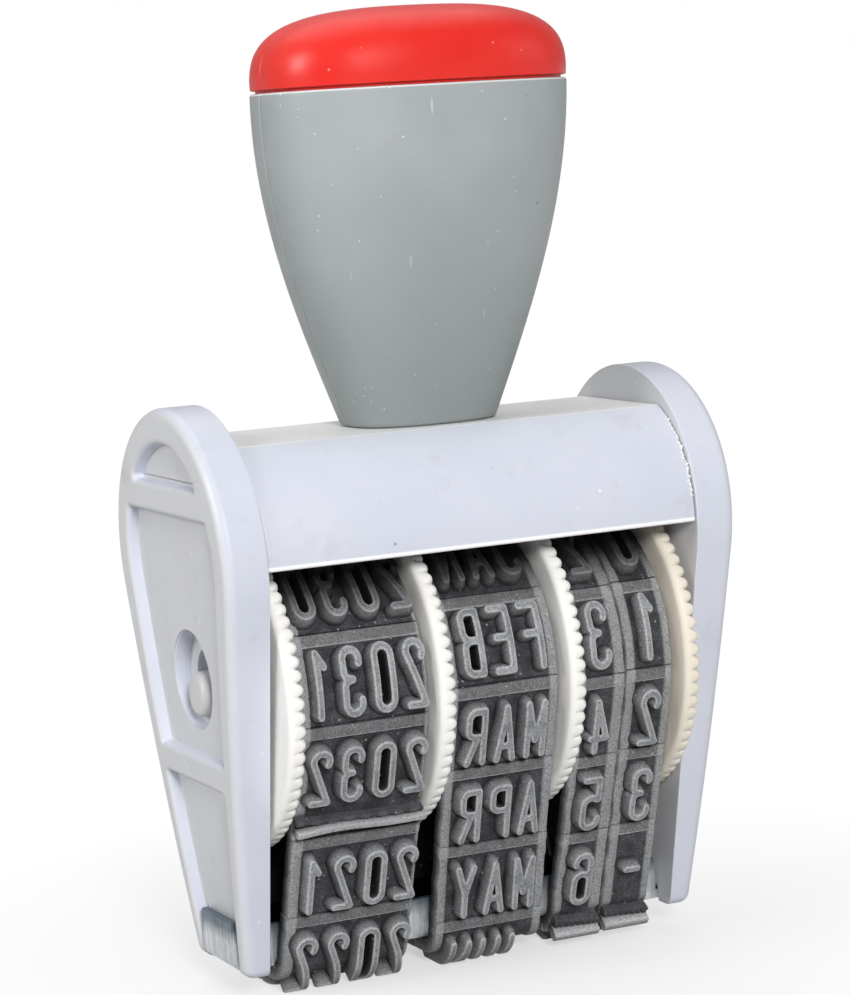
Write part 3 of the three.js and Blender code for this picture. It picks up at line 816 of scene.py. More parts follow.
@dataclass
class Cheek:
    """End plate of the frame, with a recess, two ribs and the window for the axle."""

    sizes: StampSizes
    material: Material
    top_radius: float = 11.0
    foot_half_depth: float = 5.0
    foot_round: float = 0.8
    edge_round: float = 0.8
    inner_round: float = 0.12
    rim_width: float = 2.5
    rim_foot_width: float = 1.7
    recess_draft: float = 0.1
    mouth_round: float = 0.42
    mouth_angle: float = 75
    mouth_overrun: float = 0.1
    rib_height: float = 2.1
    ribs: tuple[float, float] = (15.75, 35.25)
    window_radius: float = 3.6
    window_height: float = 23.2
    window_round: float = 0.1
    lip_thickness: float = 1.0
    lip_bore: float = 2.2
    slot_half_width: float = 3.1
    slot_top: float = 3.1
    slot_reach: Flat = (15.0, 25.0)
    recess_overrun: float = 1.2
    recess_foot: float = 1.5
    foot_steps: int = 8
    side_steps: int = 16
    arch_steps: int = 48

    def half_ring(self, inset: float, recess: bool = False) -> list[Flat]:
        """Right half of the drop outline, from the bottom to the top.

        Args:
            inset: Distance inside the plate's own outline.
            recess: True for the recess, which runs out below the foot and has a narrower rim there.

        Returns:
            (y, z) points whose heights never fall.
        """
        top = self.top_radius - inset
        foot = self.foot_half_depth - (self.rim_foot_width if recess else inset)
        low = self.sizes.foot_height + (-self.recess_foot if recess else inset)
        corner = self.recess_foot if recess else max(self.foot_round - inset, 0.05)
        arch = self.sizes.arch_height
        across, rise = foot - corner, arch - low - corner
        taper = asin((top - corner) / hypot(across, rise)) - atan2(across, rise)
        line: list[Flat] = [(0.0, low)]
        for share in shares(self.foot_steps):
            angle = lerp(-pi / 2, -taper, share)
            line.append((across + corner * cos(angle), low + corner * (1 + sin(angle))))
        start, end = line[-1], (top * cos(taper), arch - top * sin(taper))
        for share in shares(self.side_steps)[1:-1]:
            line.append((lerp(start[0], end[0], share), lerp(start[1], end[1], share)))
        for share in shares(self.arch_steps):
            angle = lerp(-taper, pi / 2, share)
            line.append((top * cos(angle), arch + top * sin(angle)))
        line[-1] = (0.0, line[-1][1])
        return line

    def whole(self, half: Sequence[Flat]) -> list[Flat]:
        """Whole outline from its right half."""
        return list(half) + [(-y, z) for y, z in reversed(half[1:-1])]

    def stand(self, outline: Sequence[Flat], face: Callable[[float], float], out: float) -> list[Point]:
        """Ring of an outline that stands out from one of the cheek's faces."""
        return [(face(z) + out, y, z) for y, z in outline]

    def build(self, side: int) -> None:
        """Builds the cheek on one side and dresses it. The left one is the mirrored right one.

        Args:
            side: 1 for the right cheek and -1 for the left one.
        """
        sizes = self.sizes
        name = "right_cheek" if side > 0 else "left_cheek"
        small = self.inner_round
        rings = []
        for inset, rise in ((small, 0.0), (small * 0.3, small * 0.3), (0.0, small)):
            rings.append(self.stand(self.whole(self.half_ring(inset)), sizes.inner_face, rise))
        for share in shares(8):
            angle = pi / 2 * share
            outline = self.whole(self.half_ring(self.edge_round * (1 - cos(angle))))
            rings.append(self.stand(outline, sizes.outer_face, -self.edge_round * (1 - sin(angle))))
        plate = loft(name + "_moulding", rings, Caps.STRIPS)
        for tool in [*self.recess_tools(), *self.window_tools()]:
            combine(plate, tool)
        if side < 0:
            plate.data.transform(Matrix.Scale(-1, 4, (1, 0, 0)))
            plate.data.flip_normals()
        settle(plate, self.material, name, crease=30)

    def pocket(self, low: float, high: float) -> Pocket:
        """Part of the recess between two heights.

        Args:
            low: The lower one.
            high: The upper one, which may lie above the recess.

        Returns:
            Its outline.
        """
        half = self.half_ring(self.rim_width, recess=True)
        depths, heights = zip(*half)
        bottom, top = ((float(np.interp(height, heights, depths)), height) for height in (low, high))
        right = [p for p in half if low + 0.2 < p[1] < high - 0.2 and p[0] > 0.01]
        end = [top, (0.0, high)] if high < half[-1][1] else [half[-1]]
        return Pocket(self.whole([(0.0, low), bottom, *right, *end]))

    def recess_tools(self) -> list[Object]:
        """Makes the solids that hollow the recess above, between and below the two ribs.

        Returns:
            The solids.
        """
        sizes = self.sizes
        lower, upper = self.ribs
        spans = (
            (sizes.foot_height - self.recess_overrun, lower),
            (lower + self.rib_height, upper),
            (upper + self.rib_height, sizes.cheek_top),
        )
        last = radians(self.mouth_angle)
        steps = 5
        grown = [(-self.recess_draft, sizes.recess_depth), (0.0, self.mouth_round)]
        for step in range(1, steps + 1):
            angle = last * step / steps
            grown.append(tuple(self.mouth_round * (1 - way(angle)) for way in (cos, sin)))
        # The mouth leaves the face at a small angle, which a cut can follow
        growth, depth = grown[-1]
        widest = growth + (depth + self.mouth_overrun) * tan(last)
        grown += [(widest, -self.mouth_overrun), (widest, -OVERRUN)]
        tools = []
        for low, high in spans:
            pocket = self.pocket(low, high)
            rings = [self.stand(pocket.ring(growth), sizes.outer_face, -depth) for growth, depth in grown]
            tools.append(loft("recess_tool", rings, Caps.STRIPS))
        return tools

    def window_tools(self) -> list[Object]:
        """Makes the solids that cut the window, the keyhole behind it and the slot of the tab.

        Returns:
            The solids.
        """
        sizes = self.sizes
        inner = sizes.inner_face(sizes.axle_height)
        lip = inner + self.lip_thickness
        web = sizes.web_face(self.window_height)
        small = self.window_round
        radius = self.window_radius
        wide, far = radius + small, web + 2 * OVERRUN
        edge = [(radius, web - small), (radius + small * 0.3, web - small * 0.3), (wide, web + 0.02)]
        well = [(0.0, lip), (radius, lip), *edge, (wide, far), (0.0, far)]
        tools = [turned("well_tool", well, self.window_height, 96)]
        near, far = self.slot_reach
        for radius, height in ((self.lip_bore, self.window_height), (sizes.bore_radius, sizes.axle_height)):
            tools.append(rod("bore_tool", radius, inner - OVERRUN, far, height, 72))
        half = self.slot_half_width
        return [*tools, block("tab_tool", (near, -half, 0.0), (far, half, self.slot_top))]


@dataclass
class Shell:
    """Roof over the wheels: a flat top that the grip stands on, and two curved panels."""

    sizes: StampSizes
    material: Material
    flat_half_depth: float = 5.9
    half_depth: float = 10.84
    wall: float = 1.6
    end_gap: float = 0.05
    screw_hole: float = 1.7
    edge_softness: float = 0.2
    panel_steps: int = 24

    def panel(self, flat: float, deep: float, top: float, foot: float) -> list[Flat]:
        """One side of the section, from the flat top's edge down the curved panel.

        Args:
            flat: Half depth of the flat top.
            deep: Half depth at the foot, where the panel stands upright.
            top: Height of the flat top.
            foot: Height of the panel's lower edge.

        Returns:
            (y, z) points.
        """
        across, down = deep - flat, top - foot
        radius = (across**2 + down**2) / (2 * across)
        sweep = asin(down / radius)
        angles = [sweep * (1 - share) for share in shares(self.panel_steps)]
        return [(deep - radius * (1 - cos(a)), foot + radius * sin(a)) for a in angles]

    def ends(self, side_line: Sequence[Flat], extra: float) -> list[list[Point]]:
        """The two end rings of a section, which lean with the cheeks.

        Args:
            side_line: One side of the section.
            extra: Distance by which they reach past the shell's own ends.

        Returns:
            The left ring and the right one.
        """
        line = [(-y, z) for y, z in side_line] + list(reversed(side_line))
        reach = extra - self.end_gap
        return [[(side * (self.sizes.inner_face(z) + reach), y, z) for y, z in line] for side in (-1, 1)]

    def build(self) -> None:
        """Builds the shell and dresses it."""
        sizes, wall = self.sizes, self.wall
        top, foot = sizes.shell_top, sizes.arch_height
        outer = self.panel(self.flat_half_depth, self.half_depth, top, foot)
        flat, deep = self.flat_half_depth - wall / 2, self.half_depth - wall
        inner = self.panel(flat, deep, top - wall, foot - OVERRUN)
        roof = loft("top_shell_moulding", self.ends(outer, 0.0))
        combine(roof, loft("room_tool", self.ends(inner, OVERRUN)))
        line = circle(48, self.screw_hole)
        combine(roof, loft("hole_tool", [[(x, y, z) for x, y in line] for z in (foot, top + OVERRUN)]))
        soften(roof, self.edge_softness, segments=3, angle=20)
        settle(roof, self.material, "top_shell")


def scatter_tree() -> GeometryNodeTree:
    """Geometry nodes that set copies of a small piece on points, each turned and sized by chance.

    Returns:
        A tree with the inputs Piece, Least, Most, Turn, Seed and Material.
    """
    inputs = {"Piece": "Object", "Least": "Float", "Most": "Float", "Turn": "Float", "Seed": "Int"}
    nodes = PieceNodes("scattered_pieces", inputs)
    given = nodes.given
    sizes = {2: given["Least"], 3: given["Most"], "Seed": given["Seed"]}
    size = nodes.add("FunctionNodeRandomValue", sizes)
    turns = {0: (0.0, 0.0, 0.0), 1: given["Turn"], "Seed": given["Seed"]}
    turn = nodes.add("FunctionNodeRandomValue", turns, data_type="FLOAT_VECTOR")
    inputs = {
        "Points": given["Geometry"],
        "Instance": nodes.add(OBJECT_SHAPE, [given["Piece"]]).outputs["Geometry"],
        "Scale": size.outputs[1],
        "Rotation": turn.outputs[0],
    }
    return nodes.finish(nodes.add("GeometryNodeInstanceOnPoints", inputs))


@dataclass
class SeamFlash:
    """Crumbs of plastic that were squeezed out where the shell meets the right cheek, front and back."""

    shell: Shell
    tree: GeometryNodeTree
    colour: str = "#f3f3f2"
    crumbs: int = 44
    radius: float = 0.11
    lowest: float = 33.6
    highest: float = 39.4
    reach: float = 0.3
    stray: float = 0.05
    scales: Flat = (0.4, 1.0)
    seed: int = 7

    def build(self) -> None:
        """Builds the crumbs and dresses them."""
        shell, sizes = self.shell, self.shell.sizes
        line = shell.panel(shell.flat_half_depth, shell.half_depth, sizes.shell_top, sizes.arch_height)
        depths, heights = zip(*reversed(line))
        chance = np.random.default_rng(self.seed)
        places = []
        for step, share in enumerate(shares(self.crumbs - 1)):
            height = lerp(self.lowest, self.highest, share) + chance.uniform(-self.stray, self.stray)
            across = sizes.inner_face(height) - chance.uniform(self.radius, self.reach)
            depth = float(np.interp(height, heights, depths))
            # One in five is at the back
            places.append((across, -depth if step % 5 else depth, height))
        small, high = 0.4 * self.radius, 0.8 * self.radius
        rings = []
        for radius, z in ((small, -high), (self.radius, 0.0), (small, high)):
            rings.append([(x * 1.5, y, z) for x, y in circle(7, radius)])
        crumb = loft("crumb", rings)
        finish = MouldedPlastic("moulded_polystyrene_flash", self.colour, self.colour, roughness=0.3)
        material = finish.build()
        flash = make_object("seam_flash_crumbs", places, [])
        least, most = self.scales
        values = {"Piece": crumb, "Least": least, "Most": most, "Turn": 3.0, "Seed": self.seed}
        apply_tree(flash, self.tree, values | {"Material": material})
        discard(crumb)
        settle(flash, material)


# Grip and cap


def rounded_oval(
    half_width: float, half_depth: float, z: float, squareness: float, drift: float, groove: float
) -> list[Point]:
    """Superellipse ring at a height, anticlockwise from above, with points close together at its seams.

    Args:
        half_width: Half its size along X.
        half_depth: Half its size along Y.
        z: Its height.
        squareness: 2 for an ellipse, and more for squarer corners.
        drift: Distance of its middle to the right.
        groove: Depth of the groove that the mould left at both sides, where its halves part.

    Returns:
        Points of the ring.
    """
    ring = []
    seam_step, seam_half, steps = 0.009, 0.014, 144
    angles = [2 * pi * step / steps for step in range(steps)]
    angles += [side + step * seam_step for side in (0.0, pi) for step in (-2, -1, 1, 2)]
    for angle in sorted(a % (2 * pi) for a in angles):
        c, s = cos(angle), sin(angle)
        # The points are spread by angle, so that none crowd where the ring is flattest
        size = (abs(c) ** squareness + abs(s) ** squareness) ** (-1 / squareness)
        sunk = groove * max(0.0, 1 - abs(s) / seam_half)
        ring.append((drift + (half_width - sunk) * size * c, half_depth * size * s, z))
    return ring


@dataclass
class Handle:
    """Flared grip and its cap."""

    sizes: StampSizes
    grip_material: Material
    cap_material: Material
    grip_height: float = 24.4
    base: Flat = (5.6, 4.7)
    top: Flat = (11.75, 7.8)
    squareness: float = 2.5
    seam: float = 0.2
    cap_height: float = 5.57
    cap_squareness: float = 3.0
    lip_round: float = 0.22
    lean: float = 2.0
    parting_depth: float = 0.09
    foot_groove: float = 0.13
    wall: float = 1.2
    levels: int = 56
    crown_steps: int = 34
    crown_shares: Flat = (0.03, 0.955)

    def oval(self, half_width: float, half_depth: float, z: float) -> list[Point]:
        """Ring of the grip or cap at a height. They lean a little to the right of upright."""
        drift = (z - self.sizes.shell_top) * tan(radians(self.lean))
        return rounded_oval(half_width, half_depth, z, self.squareness, drift, self.parting_depth)

    def grip_ring(self, share: float, inset: float = 0.0) -> list[Point]:
        """Ring of the grip at a share of its height, perhaps inset. The grip flares as a quarter sine."""
        wide, deep = (lerp(foot, top, sin(pi / 2 * share)) - inset for foot, top in zip(self.base, self.top))
        return self.oval(wide, deep, self.sizes.shell_top + self.grip_height * share)

    def build_grip(self) -> None:
        """Builds the grip and dresses it."""
        foot, sunk = self.foot_groove / self.grip_height, 2 * self.foot_groove
        start = ((0.0, sunk), (foot, sunk), (foot, 0.05), (foot + 0.003, 0.0))
        rings = [self.grip_ring(share, inset) for share, inset in start]
        rings += [self.grip_ring(share) for share in shares(self.levels)[1:-1]]
        for share in shares(4):
            angle = pi / 2 * share
            below = self.lip_round * (1 - sin(angle)) / self.grip_height
            rings.append(self.grip_ring(1 - below, self.lip_round * (1 - cos(angle))))
        rings.append(self.grip_ring(1.0, self.wall))
        settle(loft("handle_grip_moulding", rings), self.grip_material, "handle_grip", crease=50)

    def build_cap(self) -> None:
        """Builds the cap and dresses it. Its crown closes as a superellipse."""
        foot = self.sizes.shell_top + self.grip_height + self.seam
        wide, deep = self.top
        edge = ((0.4, -self.seam * 0.9), (0.4, 0.0), (0.15, 0.0), (0.04, 0.05))
        rings = [self.oval(wide - inset, deep - inset, foot + rise) for inset, rise in edge]
        lowest, sweep = self.crown_shares
        for step in range(self.crown_steps + 1):
            angle = pi / 2 * (lowest + sweep * step / self.crown_steps)
            width, rise = (way(angle) ** (2 / self.cap_squareness) for way in (cos, sin))
            rings.append(self.oval(wide * width, deep * width, foot + self.cap_height * rise))
        settle(loft("handle_cap_moulding", rings), self.cap_material, "handle_cap", crease=50)


# Wheels


def tooth_tree() -> GeometryNodeTree:
    """Geometry nodes that press the grooves between the teeth into a plain turned disc.

    Returns:
        A tree with the inputs Teeth, Roundness and Material. It reads the vertex attributes "turn",
        the angle of a point in turns, and "groove", how far and which way a groove goes there.
    """
    nodes = PieceNodes("thumb_wheel_teeth", {"Teeth": "Float", "Roundness": "Float"})
    stored = "GeometryNodeInputNamedAttribute"
    turn = nodes.add(stored, {"Name": "turn"}, data_type="FLOAT").outputs["Attribute"]
    groove = nodes.add(stored, {"Name": "groove"}, data_type="FLOAT_VECTOR").outputs["Attribute"]
    passed = nodes.add(MATH, (turn, nodes.given["Teeth"]), operation="MULTIPLY")
    share = nodes.add(MATH, [passed], operation="FRACT")
    across = nodes.add(MATH, (share, 2.0, -1.0), operation="MULTIPLY_ADD")
    # A tooth is round across its tip, so the groove falls away as a circle does
    square = nodes.add(MATH, (across, across), operation="MULTIPLY")
    fallen = nodes.add(MATH, (square, nodes.given["Roundness"]), operation="MULTIPLY")
    risen = nodes.add(MATH, [nodes.add(MATH, (1.0, fallen), operation="SUBTRACT")], operation="SQRT")
    depth = nodes.add(MATH, (1.0, risen), operation="SUBTRACT")
    offset = nodes.add(VECTOR_MATH, {0: groove, "Scale": depth}, operation="SCALE")
    inputs = {"Geometry": nodes.given["Geometry"], "Offset": offset}
    return nodes.finish(nodes.add("GeometryNodeSetPosition", inputs))


@dataclass
class ThumbWheel:
    """Toothed disc that is turned by the thumb, with the drum that drives one belt."""

    sizes: StampSizes
    tree: GeometryNodeTree
    teeth: int = 72
    tip_radius: float = 11.66
    tip_round: float = 0.5
    groove_depth: float = 0.66
    groove_foot: float = 10.2
    drum_radius: float = 8.45
    drum_wall: float = 1.3
    floor_thickness: float = 1.2
    hub_radius: float = 2.9
    steps_per_tooth: int = 8
    roundness: float = 0.985
    web_radii: Flat = (10.1, 10.6)
    hub_round: float = 0.2
    plain_radius: float = 10.9
    side_depth: float = 0.45

    def profile(self, length: float) -> list[Flat]:
        """Half section of the wheel.

        Args:
            length: Distance from the open face to the end of the drum.

        Returns:
            Closed line of (radius, distance) points, with the solid on its left.
        """
        thick, bore, small = self.sizes.disc_thickness, self.sizes.bore_radius, self.hub_round
        pocket = self.drum_radius - self.drum_wall
        floor = length - self.floor_thickness
        low, high = self.web_radii
        hub = [(self.hub_radius, 0.0, small), (self.hub_radius, floor, small)]
        room = [(pocket, floor, small), (pocket, 0.0, small), (low, 0.0, 0.0), (high, 0.0, 0.0)]
        rim = [(self.tip_radius, distance, self.tip_round) for distance in (0.0, thick)]
        drum = [(self.drum_radius, thick, small), (self.drum_radius, length, small)]
        back = [(high, thick, 0.0), (low, thick, 0.0), *drum, (bore, length, 0.0)]
        corners = [(bore, 0.0, 0.0), *hub, *room, *rim, *back]
        return rounded(corners, steps=5)

    def build(
        self, body: Body, slot: Slot, start: float, length: float, way: int, material: Material
    ) -> None:
        """Builds one wheel and dresses it.

        Args:
            body: Body of its joint, which has the name of its CAD node.
            slot: Material slot; not used.
            start: Place of its open face along X.
            length: Distance from there to the end of the drum.
            way: 1 if the drum points to +X, and -1 to -X.
            material: Finish.
        """
        line = self.profile(length)
        steps = self.teeth * self.steps_per_tooth
        ordered = line if way > 0 else list(reversed(line))
        wheel = turned(body.value + "_moulding", ordered, self.sizes.axle_height, steps, start, way)
        self.mark(wheel.data, start, way)
        values = {"Teeth": float(self.teeth), "Roundness": self.roundness, "Material": material}
        apply_tree(wheel, self.tree, values)
        settle(wheel, material, body.value, crease=60, body=body)

    def mark(self, mesh: Mesh, start: float, way: int) -> None:
        """Stores on each point its angle in turns, and how far its groove goes.

        Args:
            mesh: Mesh of the plain wheel.
            start: Place of its open face along X.
            way: Way that its drum points, along X.
        """
        co = np.empty(len(mesh.vertices) * 3)
        mesh.vertices.foreach_get("co", co)
        co = co.reshape(-1, 3)
        y, z = co[:, 1], co[:, 2] - self.sizes.axle_height
        radius = np.hypot(y, z)
        turn = np.mod(np.arctan2(z, y) / (2 * pi), 1.0)
        out = np.clip((radius - self.groove_foot) / (self.tip_radius - self.groove_foot), 0, 1)
        side = np.clip((co[:, 0] - start) * way / self.sizes.disc_thickness * 2 - 1, -1, 1) * way
        plain = self.plain_radius
        radial = self.groove_depth * np.clip((radius - plain) / (self.tip_radius - plain), 0, 1)
        # The grooves run out towards the left face, so that the teeth show on the right half of the rim
        right = np.clip((side + 1) / 2, 0, 1)
        radial *= lerp(0.03, 1.0, right**2.6)
        axial = self.side_depth * np.clip(out * 2 - 0.4, 0, 1) * right**2
        spoke = np.maximum(radius, 1e-6)
        groove = np.stack([-axial, -radial * y / spoke, -radial * z / spoke], 1)
        groove[radius < self.groove_foot - 0.01] = 0
        mesh.attributes.new("turn", "FLOAT", "POINT").data.foreach_set("value", turn)
        mesh.attributes.new("groove", "FLOAT_VECTOR", "POINT").data.foreach_set("vector", groove.ravel())


# Type: a plain stroke alphabet, cut as raised letters


def arc(x: float, y: float, radius: float, start: float, end: float, facet: float = 12) -> list[Flat]:
    """Points of an arc. Its first and last angle and that of a facet are in degrees."""
    angles = [radians(lerp(start, end, share)) for share in shares(max(2, int(abs(end - start) / facet)))]
    return [(x + radius * cos(a), y + radius * sin(a)) for a in angles]


@dataclass
class StrokeAlphabet:
    """Narrow letters of one stroke width, drawn as centre lines in a box of width by height."""

    width: float = 1.24
    height: float = 3.89
    stroke: float = 0.48
    bowl_round: float = 0.55
    shoulder_round: float = 0.7

    def lines(self, letter: str) -> list[list[Flat]]:
        """Centre lines of a letter.

        Args:
            letter: Capital letter, digit or hyphen.

        Returns:
            Polylines in millimetres, from the lower left corner of the box.
        """
        w, h, q, d = self.width, self.height, self.bowl_round, self.shoulder_round
        r = w / 2
        mid = 0.53 * h
        upper, lower = partial(arc, r, h - r, r), partial(arc, r, r, r)
        top, foot = upper(0, 180), lower(180, 360)
        belly = arc(r, 0.62 * h - r, r, 130, 0)
        bowl = [(0, h), *arc(w - q, h - q, q, 90, 0), *arc(w - q, mid + q, q, 0, -90), (0, mid)]
        table: dict[str, list[list[Flat]]] = {
            "0": [[*top, *foot, (w, h - r)]],
            "1": [[(0.6 * w - 0.5, h - 0.86), (0.6 * w, h), (0.6 * w, 0)]],
            "2": [[*upper(215, -30), (0.02, 0), (w, 0)]],
            "3": [
                [*upper(205, 0), *arc(w - 0.5, mid + 0.5, 0.5, 0, -90), (r, mid)],
                [(r, mid), *arc(w - 0.5, mid - 0.5, 0.5, 90, 0), *lower(0, -195)],
            ],
            "4": [[(0.7 * w, 0), (0.7 * w, h), (0, 0.27 * h), (w, 0.27 * h)]],
            "5": [[(0.95 * w, h), (0.05, h), (0.05, 0.58 * h), *belly, *lower(0, -190)]],
            "6": [[*upper(-15, 180), *foot, *arc(r, 0.6 * h - r, r, 0, 180)]],
            "7": [[(0, h), (w, h), (0.3 * w, 0)]],
            "8": [
                [*top, *arc(r, mid + r - 0.1, r, 180, 360), (w, h - r)],
                [*arc(r, mid - r + 0.1, r, 0, 180), *foot, (w, mid - r)],
            ],
            "9": [[*lower(165, 360), *top, *arc(r, 0.4 * h + r, r, 180, 360)]],
            "-": [[(0.12 * w, 0.5 * h), (0.88 * w, 0.5 * h)]],
            "A": [[(0, 0), (r, h), (w, 0)], [(0.14 * w, 0.27 * h), (0.86 * w, 0.27 * h)]],
            "B": [bowl, [(0, h), (0, 0), *arc(w - q, q, q, -90, 0), *arc(w - q, mid - q, q, 0, 90)]],
            "C": [[(w, h - r - 0.3), *top, *foot, (w, r + 0.3)]],
            "D": [[(0, 0), (0, h), *arc(w - d, h - d, d, 90, 0), *arc(w - d, d, d, 0, -90), (0, 0)]],
            "E": [[(w, h), (0, h), (0, 0), (w, 0)], [(0, mid), (0.85 * w, mid)]],
            "F": [[(w, h), (0, h), (0, 0)], [(0, mid), (0.85 * w, mid)]],
            "G": [[(w, h - r - 0.2), *top, *foot, (w, 0.45 * h), (r, 0.45 * h)]],
            "J": [[(w, h), *lower(0, -195)]],
            "L": [[(0, h), (0, 0), (w, 0)]],
            "M": [[(0, 0), (0, h), (r, 0.3 * h), (w, h), (w, 0)]],
            "N": [[(0, 0), (0, h), (w, 0), (w, h)]],
            "P": [[(0, 0), (0, h)], bowl],
            "R": [[(0, 0), (0, h)], bowl, [(0.4 * w, mid), (w, 0)]],
            "S": [[*upper(-10, 180), (0.08 * w, 0.62 * h), (0.92 * w, 0.4 * h), *lower(0, -190)]],
            "T": [[(0, h), (w, h)], [(r, h), (r, 0)]],
            "U": [[(0, h), *foot, (w, h)]],
            "V": [[(0, h), (r, 0), (w, h)]],
            "Y": [[(0, h), (r, 0.46 * h), (w, h)], [(r, 0.46 * h), (r, 0)]],
        }
        table["O"] = table["0"]
        return table[letter]


@dataclass
class Relief:
    """Points, faces and zone colours of some raised rubber, laid flat as (across, along, lift)."""

    points: list[Point] = field(default_factory=list)
    faces: list[Face] = field(default_factory=list)
    zones: list[tuple[float, float, float]] = field(default_factory=list)

    def add(self, other: "Relief", across: float = 0.0, along: float = 0.0) -> None:
        """Adds a copy of another relief.

        Args:
            other: The relief that is copied.
            across: How far the copy is moved across the belt.
            along: How far it is moved along the belt.
        """
        base = len(self.points)
        self.points.extend((x + across, s + along, lift) for x, s, lift in other.points)
        self.faces.extend(tuple(corner + base for corner in face) for face in other.faces)
        self.zones.extend(other.zones)

    def make(self, name: str) -> Object:
        """Makes an object of it, with the zones as a colour attribute.

        Args:
            name: Name of the object.

        Returns:
            The object.
        """
        made = make_object(name, self.points, self.faces)
        stored = made.data.attributes.new("zones", "FLOAT_COLOR", "POINT")
        colours = np.ones((len(self.points), 4))
        colours[:, :3] = np.array(self.zones)
        stored.data.foreach_set("color", colours.ravel())
        return made


@dataclass
class LetterCutter:
    """Turns centre lines into raised letters with rounded ends, drafted sides and worn edges."""

    alphabet: StrokeAlphabet
    ground: float = 0.95
    top: float = 2.08
    draft: float = 0.3
    edge_round: float = 0.09
    grid_step: float = 0.085
    point_step: float = 0.15
    done: dict[str, Relief] = field(default_factory=dict)

    def distance(self, places: np.ndarray, lines: Lines) -> tuple[np.ndarray, np.ndarray]:
        """Measures how far some places are from the centre lines.

        Args:
            places: The places.
            lines: The centre lines.

        Returns:
            The distance of each from the nearest line, and the unit way away from it.
        """
        starts, ends = lines
        along = ends - starts
        length = np.maximum((along**2).sum(1), 1e-12)
        offset = places[:, None, :] - starts[None]
        share = np.clip((offset * along[None]).sum(2) / length[None], 0, 1)
        away = offset - share[..., None] * along[None]
        distances = np.sqrt((away**2).sum(2))
        best = distances.argmin(1)
        rows = np.arange(len(places))
        nearest = distances[rows, best]
        return nearest, away[rows, best] / np.maximum(nearest, 1e-9)[:, None]

    def outlines(self, lines: Lines) -> list[np.ndarray]:
        """Finds the outlines of the stroked letter by marching over a grid of distances.

        Args:
            lines: The centre lines.

        Returns:
            Points of each outline, with the letter on their left.
        """
        half, step = self.alphabet.stroke / 2, self.grid_step
        low = np.minimum(*(ends.min(0) for ends in lines)) - half - 2 * step
        high = np.maximum(*(ends.max(0) for ends in lines)) + half + 2 * step
        axes = (np.arange(low[axis], high[axis], step) for axis in (0, 1))
        grid = np.stack(np.meshgrid(*axes, indexing="ij"), -1)
        level = self.distance(grid.reshape(-1, 2), lines)[0].reshape(grid.shape[:2]) - half
        follow: dict[tuple, tuple] = {}
        spots: dict[tuple, tuple] = {}

        def crossing(a: tuple[int, int], b: tuple[int, int]) -> tuple:
            """Notes where the letter's edge crosses the side between two corners, and names the side."""
            share, side = level[a] / (level[a] - level[b]), (min(a, b), max(a, b))
            return spots.setdefault(side, (side, grid[a] + (grid[b] - grid[a]) * share))[0]

        inside = level < 0
        mixed = inside[:-1, :-1].astype(int) + inside[1:, :-1] + inside[:-1, 1:] + inside[1:, 1:]
        for i, j in zip(*np.nonzero((mixed > 0) & (mixed < 4))):
            corners = [(i, j), (i + 1, j), (i + 1, j + 1), (i, j + 1)]
            sides = list(zip(corners, corners[1:] + corners[:1]))
            for k, (a, b) in enumerate(sides):
                if inside[a] and not inside[b]:
                    turned_round = sides[k + 1 :] + sides[: k + 1]
                    back = next((c, d) for c, d in turned_round if inside[d] and not inside[c])
                    follow[crossing(a, b)] = crossing(*back)
        loops = []
        while follow:
            loop, key = [], next(iter(follow))
            while key in follow:
                loop.append(spots[key][1])
                key = follow.pop(key)
            loops.append(np.array(loop))
        return loops

    def even(self, loop: np.ndarray, lines: Lines) -> np.ndarray:
        """Spaces the points of an outline evenly, and pushes each exactly onto the edge of the stroke.

        Args:
            loop: The outline.
            lines: The centre lines.

        Returns:
            The new outline.
        """
        closed = np.vstack([loop, loop[:1]])
        lengths = np.concatenate([[0], np.cumsum(np.hypot(*np.diff(closed, axis=0).T))])
        count = max(8, int(lengths[-1] / self.point_step))
        wanted = np.linspace(0, lengths[-1], count, endpoint=False)
        line = np.stack([np.interp(wanted, lengths, closed[:, axis]) for axis in (0, 1)], 1)
        nearest, away = self.distance(line, lines)
        return line + away * (self.alphabet.stroke / 2 - nearest)[:, None]

    def close(self, relief: Relief, loops: Sequence[Sequence[int]]) -> None:
        """Fills the surface inside some loops of points, which may hold holes, to face up.

        Args:
            relief: Relief that the points are of, and that gets the faces.
            loops: Numbers of the points of each loop.
        """
        numbers = [number for loop in loops for number in loop]
        corners = [[Vector(relief.points[number]) for number in loop] for loop in loops]
        for face in tessellate_polygon(corners):
            a, b, c = (Vector(relief.points[numbers[place]]) for place in face)
            chosen = tuple(numbers[place] for place in face)
            relief.faces.append(chosen if (b - a).cross(c - a).z > 0 else chosen[::-1])

    def letter(self, name: str) -> Relief:
        """Raised letter, mirrored as printing type is, centred across and along.

        Args:
            name: The letter.

        Returns:
            Its relief, whose top faces away from the belt.
        """
        if name in self.done:
            return self.done[name]
        width, height = self.alphabet.width, self.alphabet.height
        pairs = []
        for line in self.alphabet.lines(name):
            mirrored = [(width / 2 - x, y - height / 2) for x, y in line]
            pairs.extend(zip(mirrored[:-1], mirrored[1:]))
        lines = (np.array([pair[0] for pair in pairs]), np.array([pair[1] for pair in pairs]))
        relief = Relief()
        tops: list[range] = []
        floors: list[np.ndarray] = []
        edge, middle = self.edge_round, lerp(self.ground, self.top, 0.5)
        for loop in self.outlines(lines):
            line = self.even(loop, lines)
            away = self.distance(line, lines)[1]
            reach = np.full(len(line), self.draft)
            for _ in range(3):
                found = self.distance(line + away * reach[:, None], lines)[0]
                reach = np.minimum(reach, np.maximum(found - self.alphabet.stroke / 2, 0.25 * self.draft))
